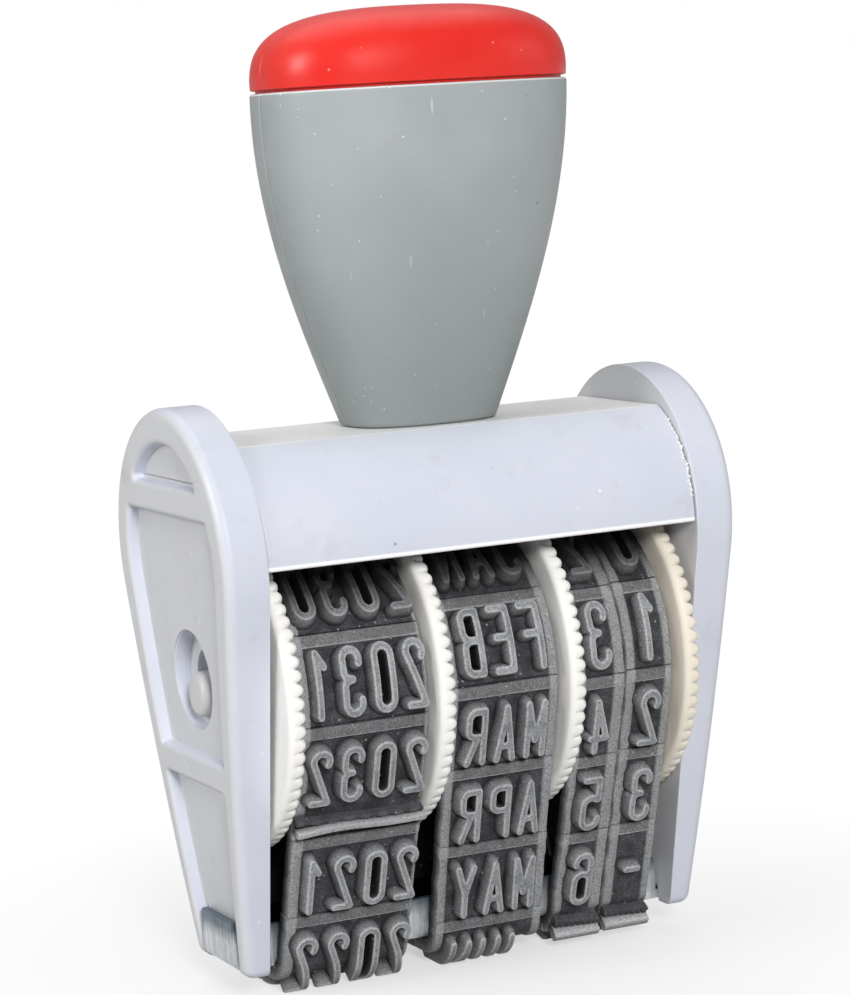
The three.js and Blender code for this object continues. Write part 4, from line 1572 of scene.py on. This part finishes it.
            # Painted shade: the middle of a closed letter and the foot of every letter are painted dark
            after = np.roll(line, -1, 0)
            closed = float((line[:, 0] * after[:, 1] - line[:, 1] * after[:, 0]).sum()) < 0
            foot_tone, side_tone = (-0.9, -0.9) if closed else (-0.45, 0.5)
            shoulder = (0.15, 0.15, -0.6) if closed else (0.3, 0.3, 0.3)
            bands = [
                (line + away * reach[:, None], self.ground - 0.15, (0.0, 0.0, foot_tone)),
                (line + away * (reach * 0.45)[:, None], middle, (0.0, 0.0, side_tone)),
                (line + away * 0.02, self.top - edge * 1.5, shoulder),
                (line, self.top - edge * 0.45, (0.8, 0.5, 0.0)),
                (line - away * edge * 0.7, self.top, (0.6, 1.0, 0.0)),
                (line - away * edge * 1.8, self.top, (0.0, 1.0, 0.0)),
            ]
            if closed:
                floors.append(line + away * (reach * 0.9)[:, None])
            count, first = len(line), len(relief.points)
            for ring, lift, zone in bands:
                relief.points.extend((x, s, lift) for x, s in ring)
                relief.zones.extend([zone] * count)
            relief.faces.extend(bridge(first, count, len(bands)))
            tops.append(range(len(relief.points) - count, len(relief.points)))
        self.close(relief, tops)
        # Dark floors in the middles of closed letters, as painted shade
        for floor in floors:
            first = len(relief.points)
            relief.points.extend((x, s, self.ground + 0.03) for x, s in floor)
            relief.zones.extend([(0.0, 0.0, -1.0)] * len(floor))
            self.close(relief, [range(first, first + len(floor))])
        self.done[name] = relief
        return relief


# Belts


@dataclass
class BeltLoop:
    """Path of a belt: flat under the anvil, up the front, over the drum and down the back."""

    axle_height: float
    inner_radius: float = 8.7
    foot_round: float = 0.95
    foot_half_flat: float = 2.2
    foot_centre_height: float = 3.05
    inner_floor: float = 2.1
    neutral: float = 0.5
    rows: int = 12
    splice_gap: float = 2.4
    guide_points: int = 900

    def __post_init__(self) -> None:
        """Works out the lengths of the loop's parts."""
        rise = self.axle_height - self.foot_centre_height
        reach = hypot(self.foot_half_flat, rise)
        narrowing = self.inner_radius - self.foot_round
        self.slope = asin(narrowing / reach) - atan2(self.foot_half_flat, rise)
        self.foot_arc = (self.foot_round + self.neutral) * (pi / 2 - self.slope)
        self.run = sqrt(reach**2 - narrowing**2)
        self.drum_arc = (self.inner_radius + self.neutral) * (pi + 2 * self.slope)
        self.length = 2 * (self.foot_half_flat + self.foot_arc + self.run) + self.drum_arc
        self.pitch = (self.length - self.splice_gap) / self.rows

    def place(self, length: float) -> Flat:
        """Point of the neutral line.

        Args:
            length: Length along it from the bottom, going up the front.

        Returns:
            (y, z).
        """
        back = length > self.length / 2
        rest = self.length - length if back else length
        run_start = self.foot_half_flat + self.foot_arc
        run_end = run_start + self.run
        foot = self.foot_round + self.neutral
        if rest < self.foot_half_flat:
            y, z = -rest, self.inner_floor - self.neutral
        elif rest < run_end:
            angle = 1.5 * pi - min(rest - self.foot_half_flat, self.foot_arc) / foot
            climbed = max(rest - run_start, 0.0)
            y = -self.foot_half_flat + foot * cos(angle) - climbed * sin(self.slope)
            z = self.foot_centre_height + foot * sin(angle) + climbed * cos(self.slope)
        else:
            drum = self.inner_radius + self.neutral
            angle = pi + self.slope - (rest - run_end) / drum
            y, z = drum * cos(angle), self.axle_height + drum * sin(angle)
        return (-y if back else y, z)

    def guide(self) -> Object:
        """Makes a closed curve along the neutral line, for the nodes that wrap a belt.

        Returns:
            The curve.
        """
        count = self.guide_points
        curve = bpy.data.curves.new("belt_guide", "CURVE")
        curve.dimensions = "3D"
        spline = curve.splines.new("POLY")
        spline.points.add(count - 1)
        for step in range(count):
            y, z = self.place(self.length * step / count)
            spline.points[step].co = (0.0, y, z, 1.0)
        spline.use_cyclic_u = True
        return link_object("belt_guide", curve)


def belt_tree() -> GeometryNodeTree:
    """Geometry nodes that set rows of type on a flat belt and wrap it round its loop.

    Returns:
        A tree with the inputs Band, Rows, Guide, Start, Neutral, Drift, Axle Height and Material.
        The piece that it runs on has one point for each row, (0, distance along the belt, 0).
    """
    kinds = {"Band": "Object", "Rows": "Collection", "Guide": "Object"}
    kinds |= dict.fromkeys(("Start", "Neutral", "Drift", "Axle Height"), "Float")
    nodes = PieceNodes("wrapped_type_belt", kinds)
    given = nodes.given
    inputs = {"Collection": given["Rows"], "Separate Children": True, "Reset Children": True}
    rows = nodes.add("GeometryNodeCollectionInfo", inputs)
    number = nodes.add("GeometryNodeInputIndex")
    inputs = {"Points": given["Geometry"], "Instance": rows, "Pick Instance": True, "Instance Index": number}
    placed = nodes.add("GeometryNodeInstanceOnPoints", inputs)
    both = nodes.add("GeometryNodeJoinGeometry")
    band = nodes.add(OBJECT_SHAPE, [given["Band"]])
    for part in (band.outputs["Geometry"], placed.outputs[0]):
        nodes.tree.links.new(part, both.inputs[0])
    real = nodes.add("GeometryNodeRealizeInstances", [both])
    flat = nodes.add(AXES, [nodes.add("GeometryNodeInputPosition")]).outputs
    guide = nodes.add(OBJECT_SHAPE, [given["Guide"]]).outputs["Geometry"]
    whole = nodes.add("GeometryNodeCurveLength", [guide])
    length = nodes.add(MATH, (flat["Y"], whole), operation="FLOORED_MODULO")
    inputs = {"Curves": guide, "Length": length}
    line = nodes.add("GeometryNodeSampleCurve", inputs, mode="LENGTH", use_all_curves=True).outputs
    outward = nodes.add(VECTOR_MATH, ((1.0, 0.0, 0.0), line["Tangent"]), operation="CROSS_PRODUCT")
    lift = nodes.add(MATH, (flat["Z"], given["Neutral"]), operation="SUBTRACT")
    raised = nodes.add(VECTOR_MATH, {0: outward, "Scale": lift}, operation="SCALE")
    # A belt wanders sideways between the drum and the anvil, ever more towards the anvil
    height = nodes.add(AXES, [line["Position"]]).outputs["Z"]
    below = nodes.add(RANGE, (height, given["Axle Height"], 0.0))
    square = nodes.add(MATH, (below, below), operation="MULTIPLY")
    wander = nodes.add(MATH, (square, given["Drift"]), operation="MULTIPLY")
    across = nodes.add(MATH, (flat["X"], given["Start"]), operation="ADD")
    side = nodes.add("ShaderNodeCombineXYZ", [nodes.add(MATH, (across, wander), operation="ADD")])
    place = nodes.add(VECTOR_MATH, (line["Position"], raised), operation="ADD")
    inputs = {"Geometry": real, "Position": nodes.add(VECTOR_MATH, (place, side), operation="ADD")}
    return nodes.finish(nodes.add("GeometryNodeSetPosition", inputs))


@dataclass
class BeltPlan:
    """What one belt carries and where it stands."""

    name: str
    start: float
    width: float
    rows: tuple[str, ...]
    shift: float
    splice_row: int
    letter_pitch: float
    last_letter: float
    margins: Flat
    drift: float
    splice_wave: float = 0.0


@dataclass
class TypeBelt:
    """Rubber belt with raised type in rows, a crease and a flat strip between rows, and a splice."""

    loop: BeltLoop
    cutter: LetterCutter
    tree: GeometryNodeTree
    guide: Object
    material: Material
    strip_rise: float = 0.13
    strip: Flat = (2.54, 3.4)
    crease: float = 3.47
    crease_depth: float = 0.14
    mesh_step: float = 0.38
    rail_rise: float = 0.13
    ridge_width: float = 0.46
    ridge_gap: float = 0.62
    splice_shift: float = 0.3
    splice_steps: int = 60

    def row_centre(self, plan: BeltPlan, row: int) -> float:
        """Length along the loop at which a row is centred."""
        return plan.shift + row * self.loop.pitch + (self.loop.splice_gap if row > plan.splice_row else 0.0)

    def splice_centre(self, plan: BeltPlan) -> float:
        """Length along the loop at which the splice is centred."""
        half = (self.loop.pitch + self.loop.splice_gap) / 2
        return self.row_centre(plan, plan.splice_row) + half + self.splice_shift

    def ground(self, plan: BeltPlan) -> Relief:
        """The belt itself, as a closed band that is laid flat.

        Args:
            plan: The belt.

        Returns:
            Its relief, from one crossing of the bottom to the next.
        """
        chance = np.random.default_rng(len(plan.name) * 7 + int(plan.width * 10))
        total, width, floor = self.loop.length, plan.width, self.cutter.ground
        stops = set(np.round(np.arange(0, total, self.mesh_step), 4))
        strips = []
        for row in range(self.loop.rows):
            low, high, fold = (self.row_centre(plan, row) + s for s in (*self.strip, self.crease))
            strips.append((low, high, fold))
            edges = (low - 0.04, low + 0.03, low + 0.1, high - 0.03, fold - 0.06, fold, fold + 0.06)
            stops.update(round(s % total, 4) for s in edges)
        along = np.array(sorted(stops))
        along = along[np.concatenate([[True], np.diff(along) > 0.015])]
        left, right = plan.margins
        inside = np.linspace(left + 0.16, width - right - 0.16, 5)
        outer = (width - right, width - right * 0.55, width - 0.07, width)
        across = np.array([0.0, 0.07, left * 0.55, left, *inside, *outer])
        lift = np.full((len(along), len(across)), floor)
        # The edges are ragged by 0.05 mm and the surface is uneven by 0.012 mm
        ragged = np.convolve(chance.normal(0, 0.05, len(along) + 4), np.ones(3) / 3, "same")[: len(along)]
        uneven = chance.normal(0, 0.012, lift.shape)
        pale, bright = np.zeros_like(lift), np.zeros_like(lift)
        trench = np.abs(along - self.splice_centre(plan)) < self.ridge_gap / 2 + self.ridge_width / 2 + 0.16
        lift[trench] -= self.crease_depth
        pale[trench] -= 1.0
        for low, high, fold in strips:
            from_low, from_fold = ((along - s + total / 2) % total - total / 2 for s in (low, fold))
            folded = np.abs(from_fold) < 0.05
            lift[folded] -= self.crease_depth
            pale[folded] -= 0.4
            raised = (from_low > -0.01) & (from_low < high - low)
            lift[raised] += self.strip_rise
            pale[raised] += 0.45
            bright[(from_low > -0.01) & (from_low < 0.08)] = 0.7
        # A rail runs along each edge, except across creases
        rail = np.zeros(len(across))
        rail[:4] = rail[-4:] = 1
        lift = np.where((rail > 0) & (lift >= floor - 0.05), floor + self.rail_rise, lift)
        lift[:, [0, -1]] -= 0.1
        lift += uneven
        x = np.tile(across, (len(along), 1))
        x[:, 0] -= np.maximum(ragged, -0.04)
        x[:, -1] += np.maximum(ragged[::-1], -0.04)
        worn = np.where(rail > 0, 0.12, bright)
        tone = np.clip(pale + 0.85 * rail, 0, 1)
        # Two more points in each ring make the inner surface, which is painted dark
        inner = ((0, 0), (0, 2))
        x, lift, worn = np.hstack([x, x[:, [-1, 0]]]), np.pad(lift, inner), np.pad(worn, inner)
        tone = np.pad(tone, inner, constant_values=-0.7)
        lengths = np.repeat(along[:, None], x.shape[1], 1)
        points, zones = ((x, lengths, lift), (worn, np.zeros_like(worn), tone))
        return Relief(
            [tuple(row) for row in np.stack(points, -1).reshape(-1, 3)],
            bridge(0, x.shape[1], len(along), closed=True),
            [tuple(row) for row in np.stack(zones, -1).reshape(-1, 3)],
        )

    def row_type(self, plan: BeltPlan, text: str) -> Relief:
        """Letters of one row. The first stands at the +X end, because type is a mirror image.

        Args:
            plan: The belt.
            text: The letters.

        Returns:
            Their relief.
        """
        row = Relief()
        for number, letter in enumerate(text):
            row.add(self.cutter.letter(letter), plan.width - plan.last_letter - number * plan.letter_pitch)
        return row

    def splice(self, plan: BeltPlan) -> Relief:
        """The two trimmed ends of the strip, which stand up as bars, the upper one cut rough.

        Args:
            plan: The belt.

        Returns:
            Their relief.
        """
        made = Relief()
        centre = self.splice_centre(plan)
        half = self.ridge_width / 2
        steps = self.splice_steps
        for side, top, rough in ((-1, 2.05, False), (1, 1.5, True)):
            first = len(made.points)
            for step, share in enumerate(shares(steps)):
                x = lerp(0.05, plan.width - 0.02, share)
                wave = plan.splice_wave * sin(7.0 * share - 0.9) * (1.3 - share)
                s = centre + side * self.ridge_gap / 2 + (wave if side < 0 else -0.25 * share)
                notch = 0.07 * sin(step * 2.7) + 0.05 * sin(step * 7.1) if rough else 0.0
                near = [(s - half, 0.7), (s - half + 0.05, top - 0.12), (s - half + 0.12, top + notch)]
                far = [(s + half - 0.12, top - notch), (s + half - 0.05, top - 0.12), (s + half, 0.7)]
                worn = (0.12,) * 6 if rough else (0.0, 0.75, 0.3, 0.3, 0.75, 0.0)
                # The feet of the bars are painted dark as shade
                tones = (-0.9, *(-0.3,) * 4, -0.2) if rough else (-0.9, *(1.0,) * 4, -0.9)
                made.points.extend((x, place, lift) for place, lift in near + far)
                made.zones.extend((edge, 0.0, tone) for edge, tone in zip(worn, tones))
            made.faces.extend(face[:1] + face[:0:-1] for face in bridge(first, 6, steps + 1))
            made.faces.append(tuple(first + corner for corner in range(6)))
            made.faces.append(tuple(first + steps * 6 + corner for corner in reversed(range(6))))
        return made

    def build(self, plan: BeltPlan) -> None:
        """Builds one belt and dresses it.

        Args:
            plan: The belt.
        """
        ground = self.ground(plan)
        ground.add(self.splice(plan))
        band = ground.make("band_" + plan.name)
        shelf = bpy.data.collections.new("rows_" + plan.name)
        made = []
        for number, text in enumerate(plan.rows):
            row = self.row_type(plan, text).make(f"row_{number:02d}_{plan.name}")
            bpy.context.scene.collection.objects.unlink(row)
            shelf.objects.link(row)
            made.append(row)
        places = [(0.0, self.row_centre(plan, row), 0.0) for row in range(self.loop.rows)]
        belt = make_object(plan.name + "_rubber", places, [])
        values = {"Band": band, "Rows": shelf, "Guide": self.guide, "Material": self.material}
        values |= {"Start": plan.start, "Drift": plan.drift}
        values |= {"Neutral": self.loop.neutral, "Axle Height": self.loop.axle_height}
        apply_tree(belt, self.tree, values)
        discard(band, *made)
        bpy.data.collections.remove(shelf)
        settle(belt, self.material, plan.name, crease=50)


# Metal and axle


@dataclass
class Anvil:
    """Bent steel strip inside the belts' lower loop, with a tab turned up in the foot of each cheek."""

    sizes: StampSizes
    material: Material
    thickness: float = 0.6
    half_depth: float = 3.0
    corner: float = 0.8
    floor: float = 2.25
    flange: float = 3.1
    tab_half_width: float = 2.95
    tab_height: float = 3.6
    tab_gap: float = 0.1
    tab_root: float = 1.0
    tab_round: float = 0.15
    edge_round: float = 0.12
    bend_round: float = 0.2

    def build(self) -> None:
        """Builds the strip with its tabs, and dresses it."""
        end = self.sizes.inner_face(self.floor) - self.sizes.wheel_gap
        top = self.floor + self.flange
        half, wall, corner = self.half_depth, self.thickness, self.corner
        low, within, tight, small = self.floor + wall, half - wall, corner - wall, self.edge_round
        turns = [(half, self.floor, corner), (half, top, small), (within, top, small), (within, low, tight)]
        section = rounded([(-y, z, turn) for y, z, turn in reversed(turns)] + turns, steps=6)
        strip = loft("anvil_strip", [[(x, y, z) for y, z in section] for x in (-end, end)])
        tab_top = self.floor + self.tab_height
        inner = self.sizes.web_face(tab_top) + self.tab_gap
        for side in (-1, 1):
            root, outer, small = end - self.tab_root, inner + wall, self.tab_round
            under = [(root, self.floor, 0.0), (outer, self.floor, corner), (outer, tab_top, small)]
            over = [(inner, tab_top, small), (inner, low, self.bend_round), (root, low, 0.0)]
            tab_line = rounded(under + over, steps=6)
            depth = side * self.tab_half_width
            rings = [[(side * x, y, z) for x, z in tab_line] for y in (depth, -depth)]
            combine(strip, loft("anvil_tab", rings), Joining.FUSE)
        soften(strip, 0.07, segments=2, angle=50)
        settle(strip, self.material, "anvil")


@dataclass
class Axle:
    """Plastic pin through the wheels, rounded at both ends."""

    sizes: StampSizes
    material: Material
    radius: float = 1.65
    end_round: float = 0.6

    def build(self) -> None:
        """Builds the pin and dresses it."""
        end = self.sizes.web_face(self.sizes.axle_height)
        sides = [(self.radius, place, self.end_round) for place in (end, -end)]
        corners = [(0.0, end, 0.0), *sides, (0.0, -end, 0.0)]
        line = list(reversed(rounded(corners, steps=8, closed=False)))
        pin = turned("axle_pin", line, self.sizes.axle_height, 72)
        settle(pin, self.material, "axle")


# Studio


@dataclass
class Studio:
    """White table, soft lamps and the camera."""

    azimuth: float = 24.629
    elevation: float = 6.758
    roll: float = -3.37
    focal_px: float = 3135.0
    distance: float = 231.1
    target: Point = (0.194, 0.0, 34.43)
    image: tuple[int, int] = (850, 995)
    sensor: float = 36.0
    clip: Flat = (0.01, 20.0)
    lamp_aim: float = 30.0
    floor_half: float = 4000.0
    fade: float = 60.0
    fill: float = 0.04
    gloss: float = 0.4
    paper: str = "#f4f4f4"
    bounce: str = "#adadad"
    table_glow: float = 1.02

    def camera(self) -> None:
        """Sets the camera at the angle of the photograph."""
        az, el, roll = (radians(a) for a in (self.azimuth, self.elevation, self.roll))
        back = Vector((-sin(az) * cos(el), -cos(az) * cos(el), sin(el)))
        level = Vector((cos(az), -sin(az), 0.0))
        up = back.cross(level)
        right = level * cos(roll) + up * sin(roll)
        top = up * cos(roll) - level * sin(roll)
        data = bpy.data.cameras.new("camera")
        data.sensor_fit = "VERTICAL"
        data.sensor_height = self.sensor
        data.lens = self.sensor * self.focal_px / self.image[1]
        data.clip_start, data.clip_end = self.clip
        made = link_object("camera", data)
        turn = Matrix((right, top, back)).transposed()
        place = (Vector(self.target) + back * self.distance) * MM
        made.matrix_world = Matrix.Translation(place) @ turn.to_4x4()
        bpy.context.scene.camera = made

    def lamp(self, name: str, place: Point, size: float, power: float, gloss: bool = True) -> None:
        """Adds a square soft lamp that looks at the stamp.

        Args:
            name: Name of the lamp.
            place: Its centre, in millimetres.
            size: Side of the square, in millimetres.
            power: Power in watts.
            gloss: False for a lamp that no surface mirrors.
        """
        data = bpy.data.lights.new(name, "AREA")
        data.size = size * MM
        data.energy = power
        made = link_object(name, data)
        made.location = Vector(place) * MM
        aim = Vector((0.0, 0.0, self.lamp_aim * MM)) - made.location
        made.rotation_mode = "QUATERNION"
        made.rotation_quaternion = aim.to_track_quat("-Z", "Y")
        made.visible_glossy = gloss

    def table(self) -> None:
        """Makes the floor, which is white to the camera and keeps a soft shadow."""
        s = self.floor_half
        floor = make_object("floor", [(-s, -s, 0), (s, -s, 0), (s, s, 0), (-s, s, 0)], [(0, 1, 2, 3)])
        floor.data.transform(Matrix.Scale(MM, 4))
        material = bpy.data.materials.new("white_table")
        material.use_nodes = True
        nodes = Graph(material.node_tree)
        rays = nodes.add("ShaderNodeLightPath").outputs
        seen = nodes.add(MATH, (rays["Is Camera Ray"], rays["Is Glossy Ray"]), operation="MAXIMUM")
        place = nodes.add("ShaderNodeTexCoord").outputs["Object"]
        away = nodes.add(VECTOR_MATH, [place], operation="LENGTH")
        near = nodes.add(RANGE, (away, -self.fade * MM, self.fade * MM))
        share = nodes.add(MATH, (seen, near), operation="MULTIPLY")
        # The paper throws little light back up, so that the undersides stay as dark as in a light tent
        tones = {0: rays["Is Camera Ray"], 6: linear(self.bounce), 7: linear(self.paper)}
        paper = nodes.add("ShaderNodeBsdfDiffuse", [nodes.add(MIX, tones, data_type="RGBA")])
        white = nodes.add("ShaderNodeEmission", {"Color": WHITE, "Strength": self.table_glow})
        above = nodes.add("ShaderNodeMixShader", (share, paper, white))
        # From below the table can't be seen, so that the type can be read there
        behind = nodes.add("ShaderNodeNewGeometry").outputs["Backfacing"]
        clear = nodes.add("ShaderNodeBsdfTransparent")
        surface = nodes.add("ShaderNodeMixShader", (behind, above, clear))
        nodes.add("ShaderNodeOutputMaterial", {"Surface": surface})
        floor.data.materials.append(material)

    def sky(self) -> None:
        """Sets the world: white to the camera and in gloss, and a soft fill on the stamp."""
        world = bpy.data.worlds.new("studio")
        bpy.context.scene.world = world
        world.use_nodes = True
        nodes = Graph(world.node_tree)
        rays = nodes.add("ShaderNodeLightPath").outputs
        fill, white = (
            nodes.add("ShaderNodeBackground", {"Color": WHITE, "Strength": strength})
            for strength in (self.fill, 1.0)
        )
        mirrored = nodes.add(MATH, (rays["Is Glossy Ray"], self.gloss), operation="MULTIPLY")
        share = nodes.add(MATH, (mirrored, rays["Is Camera Ray"]), operation="MAXIMUM")
        nodes.add("ShaderNodeOutputWorld", [nodes.add("ShaderNodeMixShader", (share, fill, white))])

    def build(self) -> None:
        """Sets up the whole studio."""
        bpy.context.scene.view_settings.view_transform = "Standard"
        self.camera()
        self.table()
        self.sky()
        self.lamp("front", (-130, -500, 235), 110, 1.76, gloss=False)
        self.lamp("front_sheen", (-90, -490, 270), 200, 0.8)
        self.lamp("left", (-480, -30, 270), 200, 1.24)
        self.lamp("right", (480, -260, 220), 260, 0.3)
        self.lamp("top", (40, 200, 600), 620, 1.45)


# Assembly


def write_sizes() -> None:
    """Brings the view layer up to date.
    """
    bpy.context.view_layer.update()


def belt_plans(sizes: StampSizes) -> list[BeltPlan]:
    """Works out the four belts, from left to right. The last two have no disc between them.

    Args:
        sizes: Sizes of the stamp.

    Returns:
        Their plans.
    """
    step = sizes.disc_thickness + sizes.side_gap
    wide, middle, narrow = 9.9, 8.7, 3.8
    year = -sizes.stack_half + step
    month = year + wide + sizes.side_gap + step
    units = month + middle + sizes.side_gap + step
    tens = units + narrow + sizes.side_gap
    years = tuple(str(year) for year in (2023, 2022, 2021, *range(2032, 2023, -1)))
    months = tuple("JUN MAY APR MAR FEB JAN DEC NOV OCT SEP AUG JUL".split())
    ones, decades = tuple("76543210-98-"), tuple("0-3210-3210-")
    return [
        BeltPlan("year_belt", year, wide, years, -1.86, 2, 2.44, 1.17, (0.75, 0.14), -0.35, 0.12),
        BeltPlan("month_belt", month, middle, months, 1.87, 5, 2.38, 2.15, (0.6, 0.6), 0.35),
        BeltPlan("units_belt", units, narrow, ones, -1.09, 0, 2.4, 2.3, (0.5, 0.75), -0.4),
        BeltPlan("tens_belt", tens, narrow, decades, -0.96, 0, 2.4, 2.15, (0.65, 0.5), -0.2),
    ]


def main() -> None:
    """Builds the stamp from its sub-assemblies and sets it in the studio."""
    logging.basicConfig(level=logging.INFO, format="%(message)s")
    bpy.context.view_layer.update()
    write_sizes()
    sizes = StampSizes()
    Studio().build()

    # Polystyrene, moulded glossy, cool off-white: a soft sheen, grey dust and pinholes
    # Its sideways faces get a painted side light
    frame_finish = MouldedPlastic(
        "moulded_polystyrene_frame", "#cdd1dd", "#d4d7e2", side_colour="#d5d6d9", roughness=0.4, ior=1.59,
        dust_size=1.9, dust_strength=0.4, hole_strength=0.85, nick_strength=0.1,
    )
    frame_plastic = frame_finish.build()
    # The shell's lower edge is painted white as a painted highlight, and its top is painted whiter, partly
    # for dust and partly as painted light
    shell_plastic = replace(
        frame_finish,
        name="moulded_polystyrene_shell",
        top_colour="#fbfbfa",
        worn_heights=(sizes.arch_height + 0.4, sizes.arch_height + 0.28),
    ).build()
    grip_top = sizes.shell_top + Handle.grip_height
    # ABS, moulded satin grey: many pale dust specks and slanted scuffs
    # The grip is painted darker towards its foot as painted shade, and its lip gets a pale painted line
    grip_plastic = MouldedPlastic(
        "moulded_abs_grip", "#9da3a4", "#a6abac", roughness=0.5, ior=1.54,
        dust_size=0.8, dust_share=0.45, dust_strength=0.75, hole_size=4.2, nick_share=0.35,
        handled_colour="#858b8b", handled_heights=(sizes.shell_top, sizes.shell_top + 20.0),
        worn_heights=(grip_top - 0.17, grip_top - 0.1), worn_strength=0.7,
    ).build()
    # Polystyrene, moulded glossy red: clear wide highlights, a few pale specks
    cap_plastic = MouldedPlastic(
        "moulded_polystyrene_cap", "#dd261f", "#e4332a", roughness=0.36, ior=1.59, specular=0.3,
        dust_share=0.45, dust_strength=0.5, dust_colour="#ffb9b0", hole_strength=0.0,
        grime_colour="#d8362f", nick_strength=0.2,
    ).build()
    # Acetal, moulded white: waxy, almost shadowless, with grime in a few places
    wheel_finish = MouldedPlastic(
        "moulded_acetal_wheel", "#f4f2ed", "#f8f7f3", ior=1.48, grime_strength=0.16, hole_strength=0.3
    )
    wheel_plastic = wheel_finish.build()
    # The same plastic from another batch, yellowed to ivory
    ivory_plastic = replace(
        wheel_finish, name="moulded_acetal_ivory", colour="#ebe2d1", flow_colour="#eee6d8"
    ).build()
    # The pin is of the frame's own plastic, unpigmented
    pin_plastic = MouldedPlastic(
        "moulded_polystyrene_pin", "#c9cacb", "#d2d2d2", roughness=0.4, ior=1.59, grime_strength=0.2
    ).build()
    # Rubber, vulcanised in a mould: dull charcoal with pale bloom, and light where the edges are worn
    # It has painted shade at the foot of the type and in the middles of closed letters, and a painted shadow
    # below the shell
    rubber = TypeRubber().build()
    # Steel, rolled and zinc-plated: a dull sheen in drawn streaks
    # It has painted shade at its upper edge and inside the belts
    strip = PlatedSteel("zinc_plated_strip_steel", blued_heights=(4.2, 5.3), inked_depths=(-2.45, 2.3))
    strip_steel = strip.build()
    # Steel, turned and bright zinc-plated: clear reflections
    screw = PlatedSteel("bright_zinc_screw_steel", stain=0.2, roughness=0.28, metallic=1.0, streak=0.1)
    screw_steel = screw.build()

    cheek = Cheek(sizes, frame_plastic)
    cheek.build(-1)
    cheek.build(1)
    shell = Shell(sizes, shell_plastic)
    shell.build()
    SeamFlash(shell, scatter_tree()).build()
    handle = Handle(sizes, grip_plastic, cap_plastic)
    handle.build_grip()
    handle.build_cap()

    wheel = ThumbWheel(sizes, tooth_tree())
    plans = belt_plans(sizes)
    reach = sizes.disc_thickness + sizes.side_gap
    bodies = (Body.YEAR, Body.MONTH, Body.UNITS, Body.TENS)
    for plan, body in zip(plans, bodies):
        last = body is Body.TENS
        start = plan.start + plan.width + reach if last else plan.start - reach
        slot = Slot.IVORY if last else Slot.WHEEL
        plastic = ivory_plastic if last else wheel_plastic
        wheel.build(body, slot, start, reach + plan.width, -1 if last else 1, plastic)

    loop = BeltLoop(sizes.axle_height)
    guide = loop.guide()
    belt = TypeBelt(loop, LetterCutter(StrokeAlphabet()), belt_tree(), guide, rubber)
    for plan in plans:
        belt.build(plan)
    discard(guide)

    Anvil(sizes, strip_steel).build()
    Axle(sizes, pin_plastic).build()
    for node in ("handle_screw", "handle_washer"):
        carried = bpy.data.objects[node]
        carried.data.materials.clear()
        carried.data.materials.append(screw_steel)
        LOG.info("%s: %s", node, screw_steel.name)
    write_sizes()


if __name__ == "__main__":
    main()
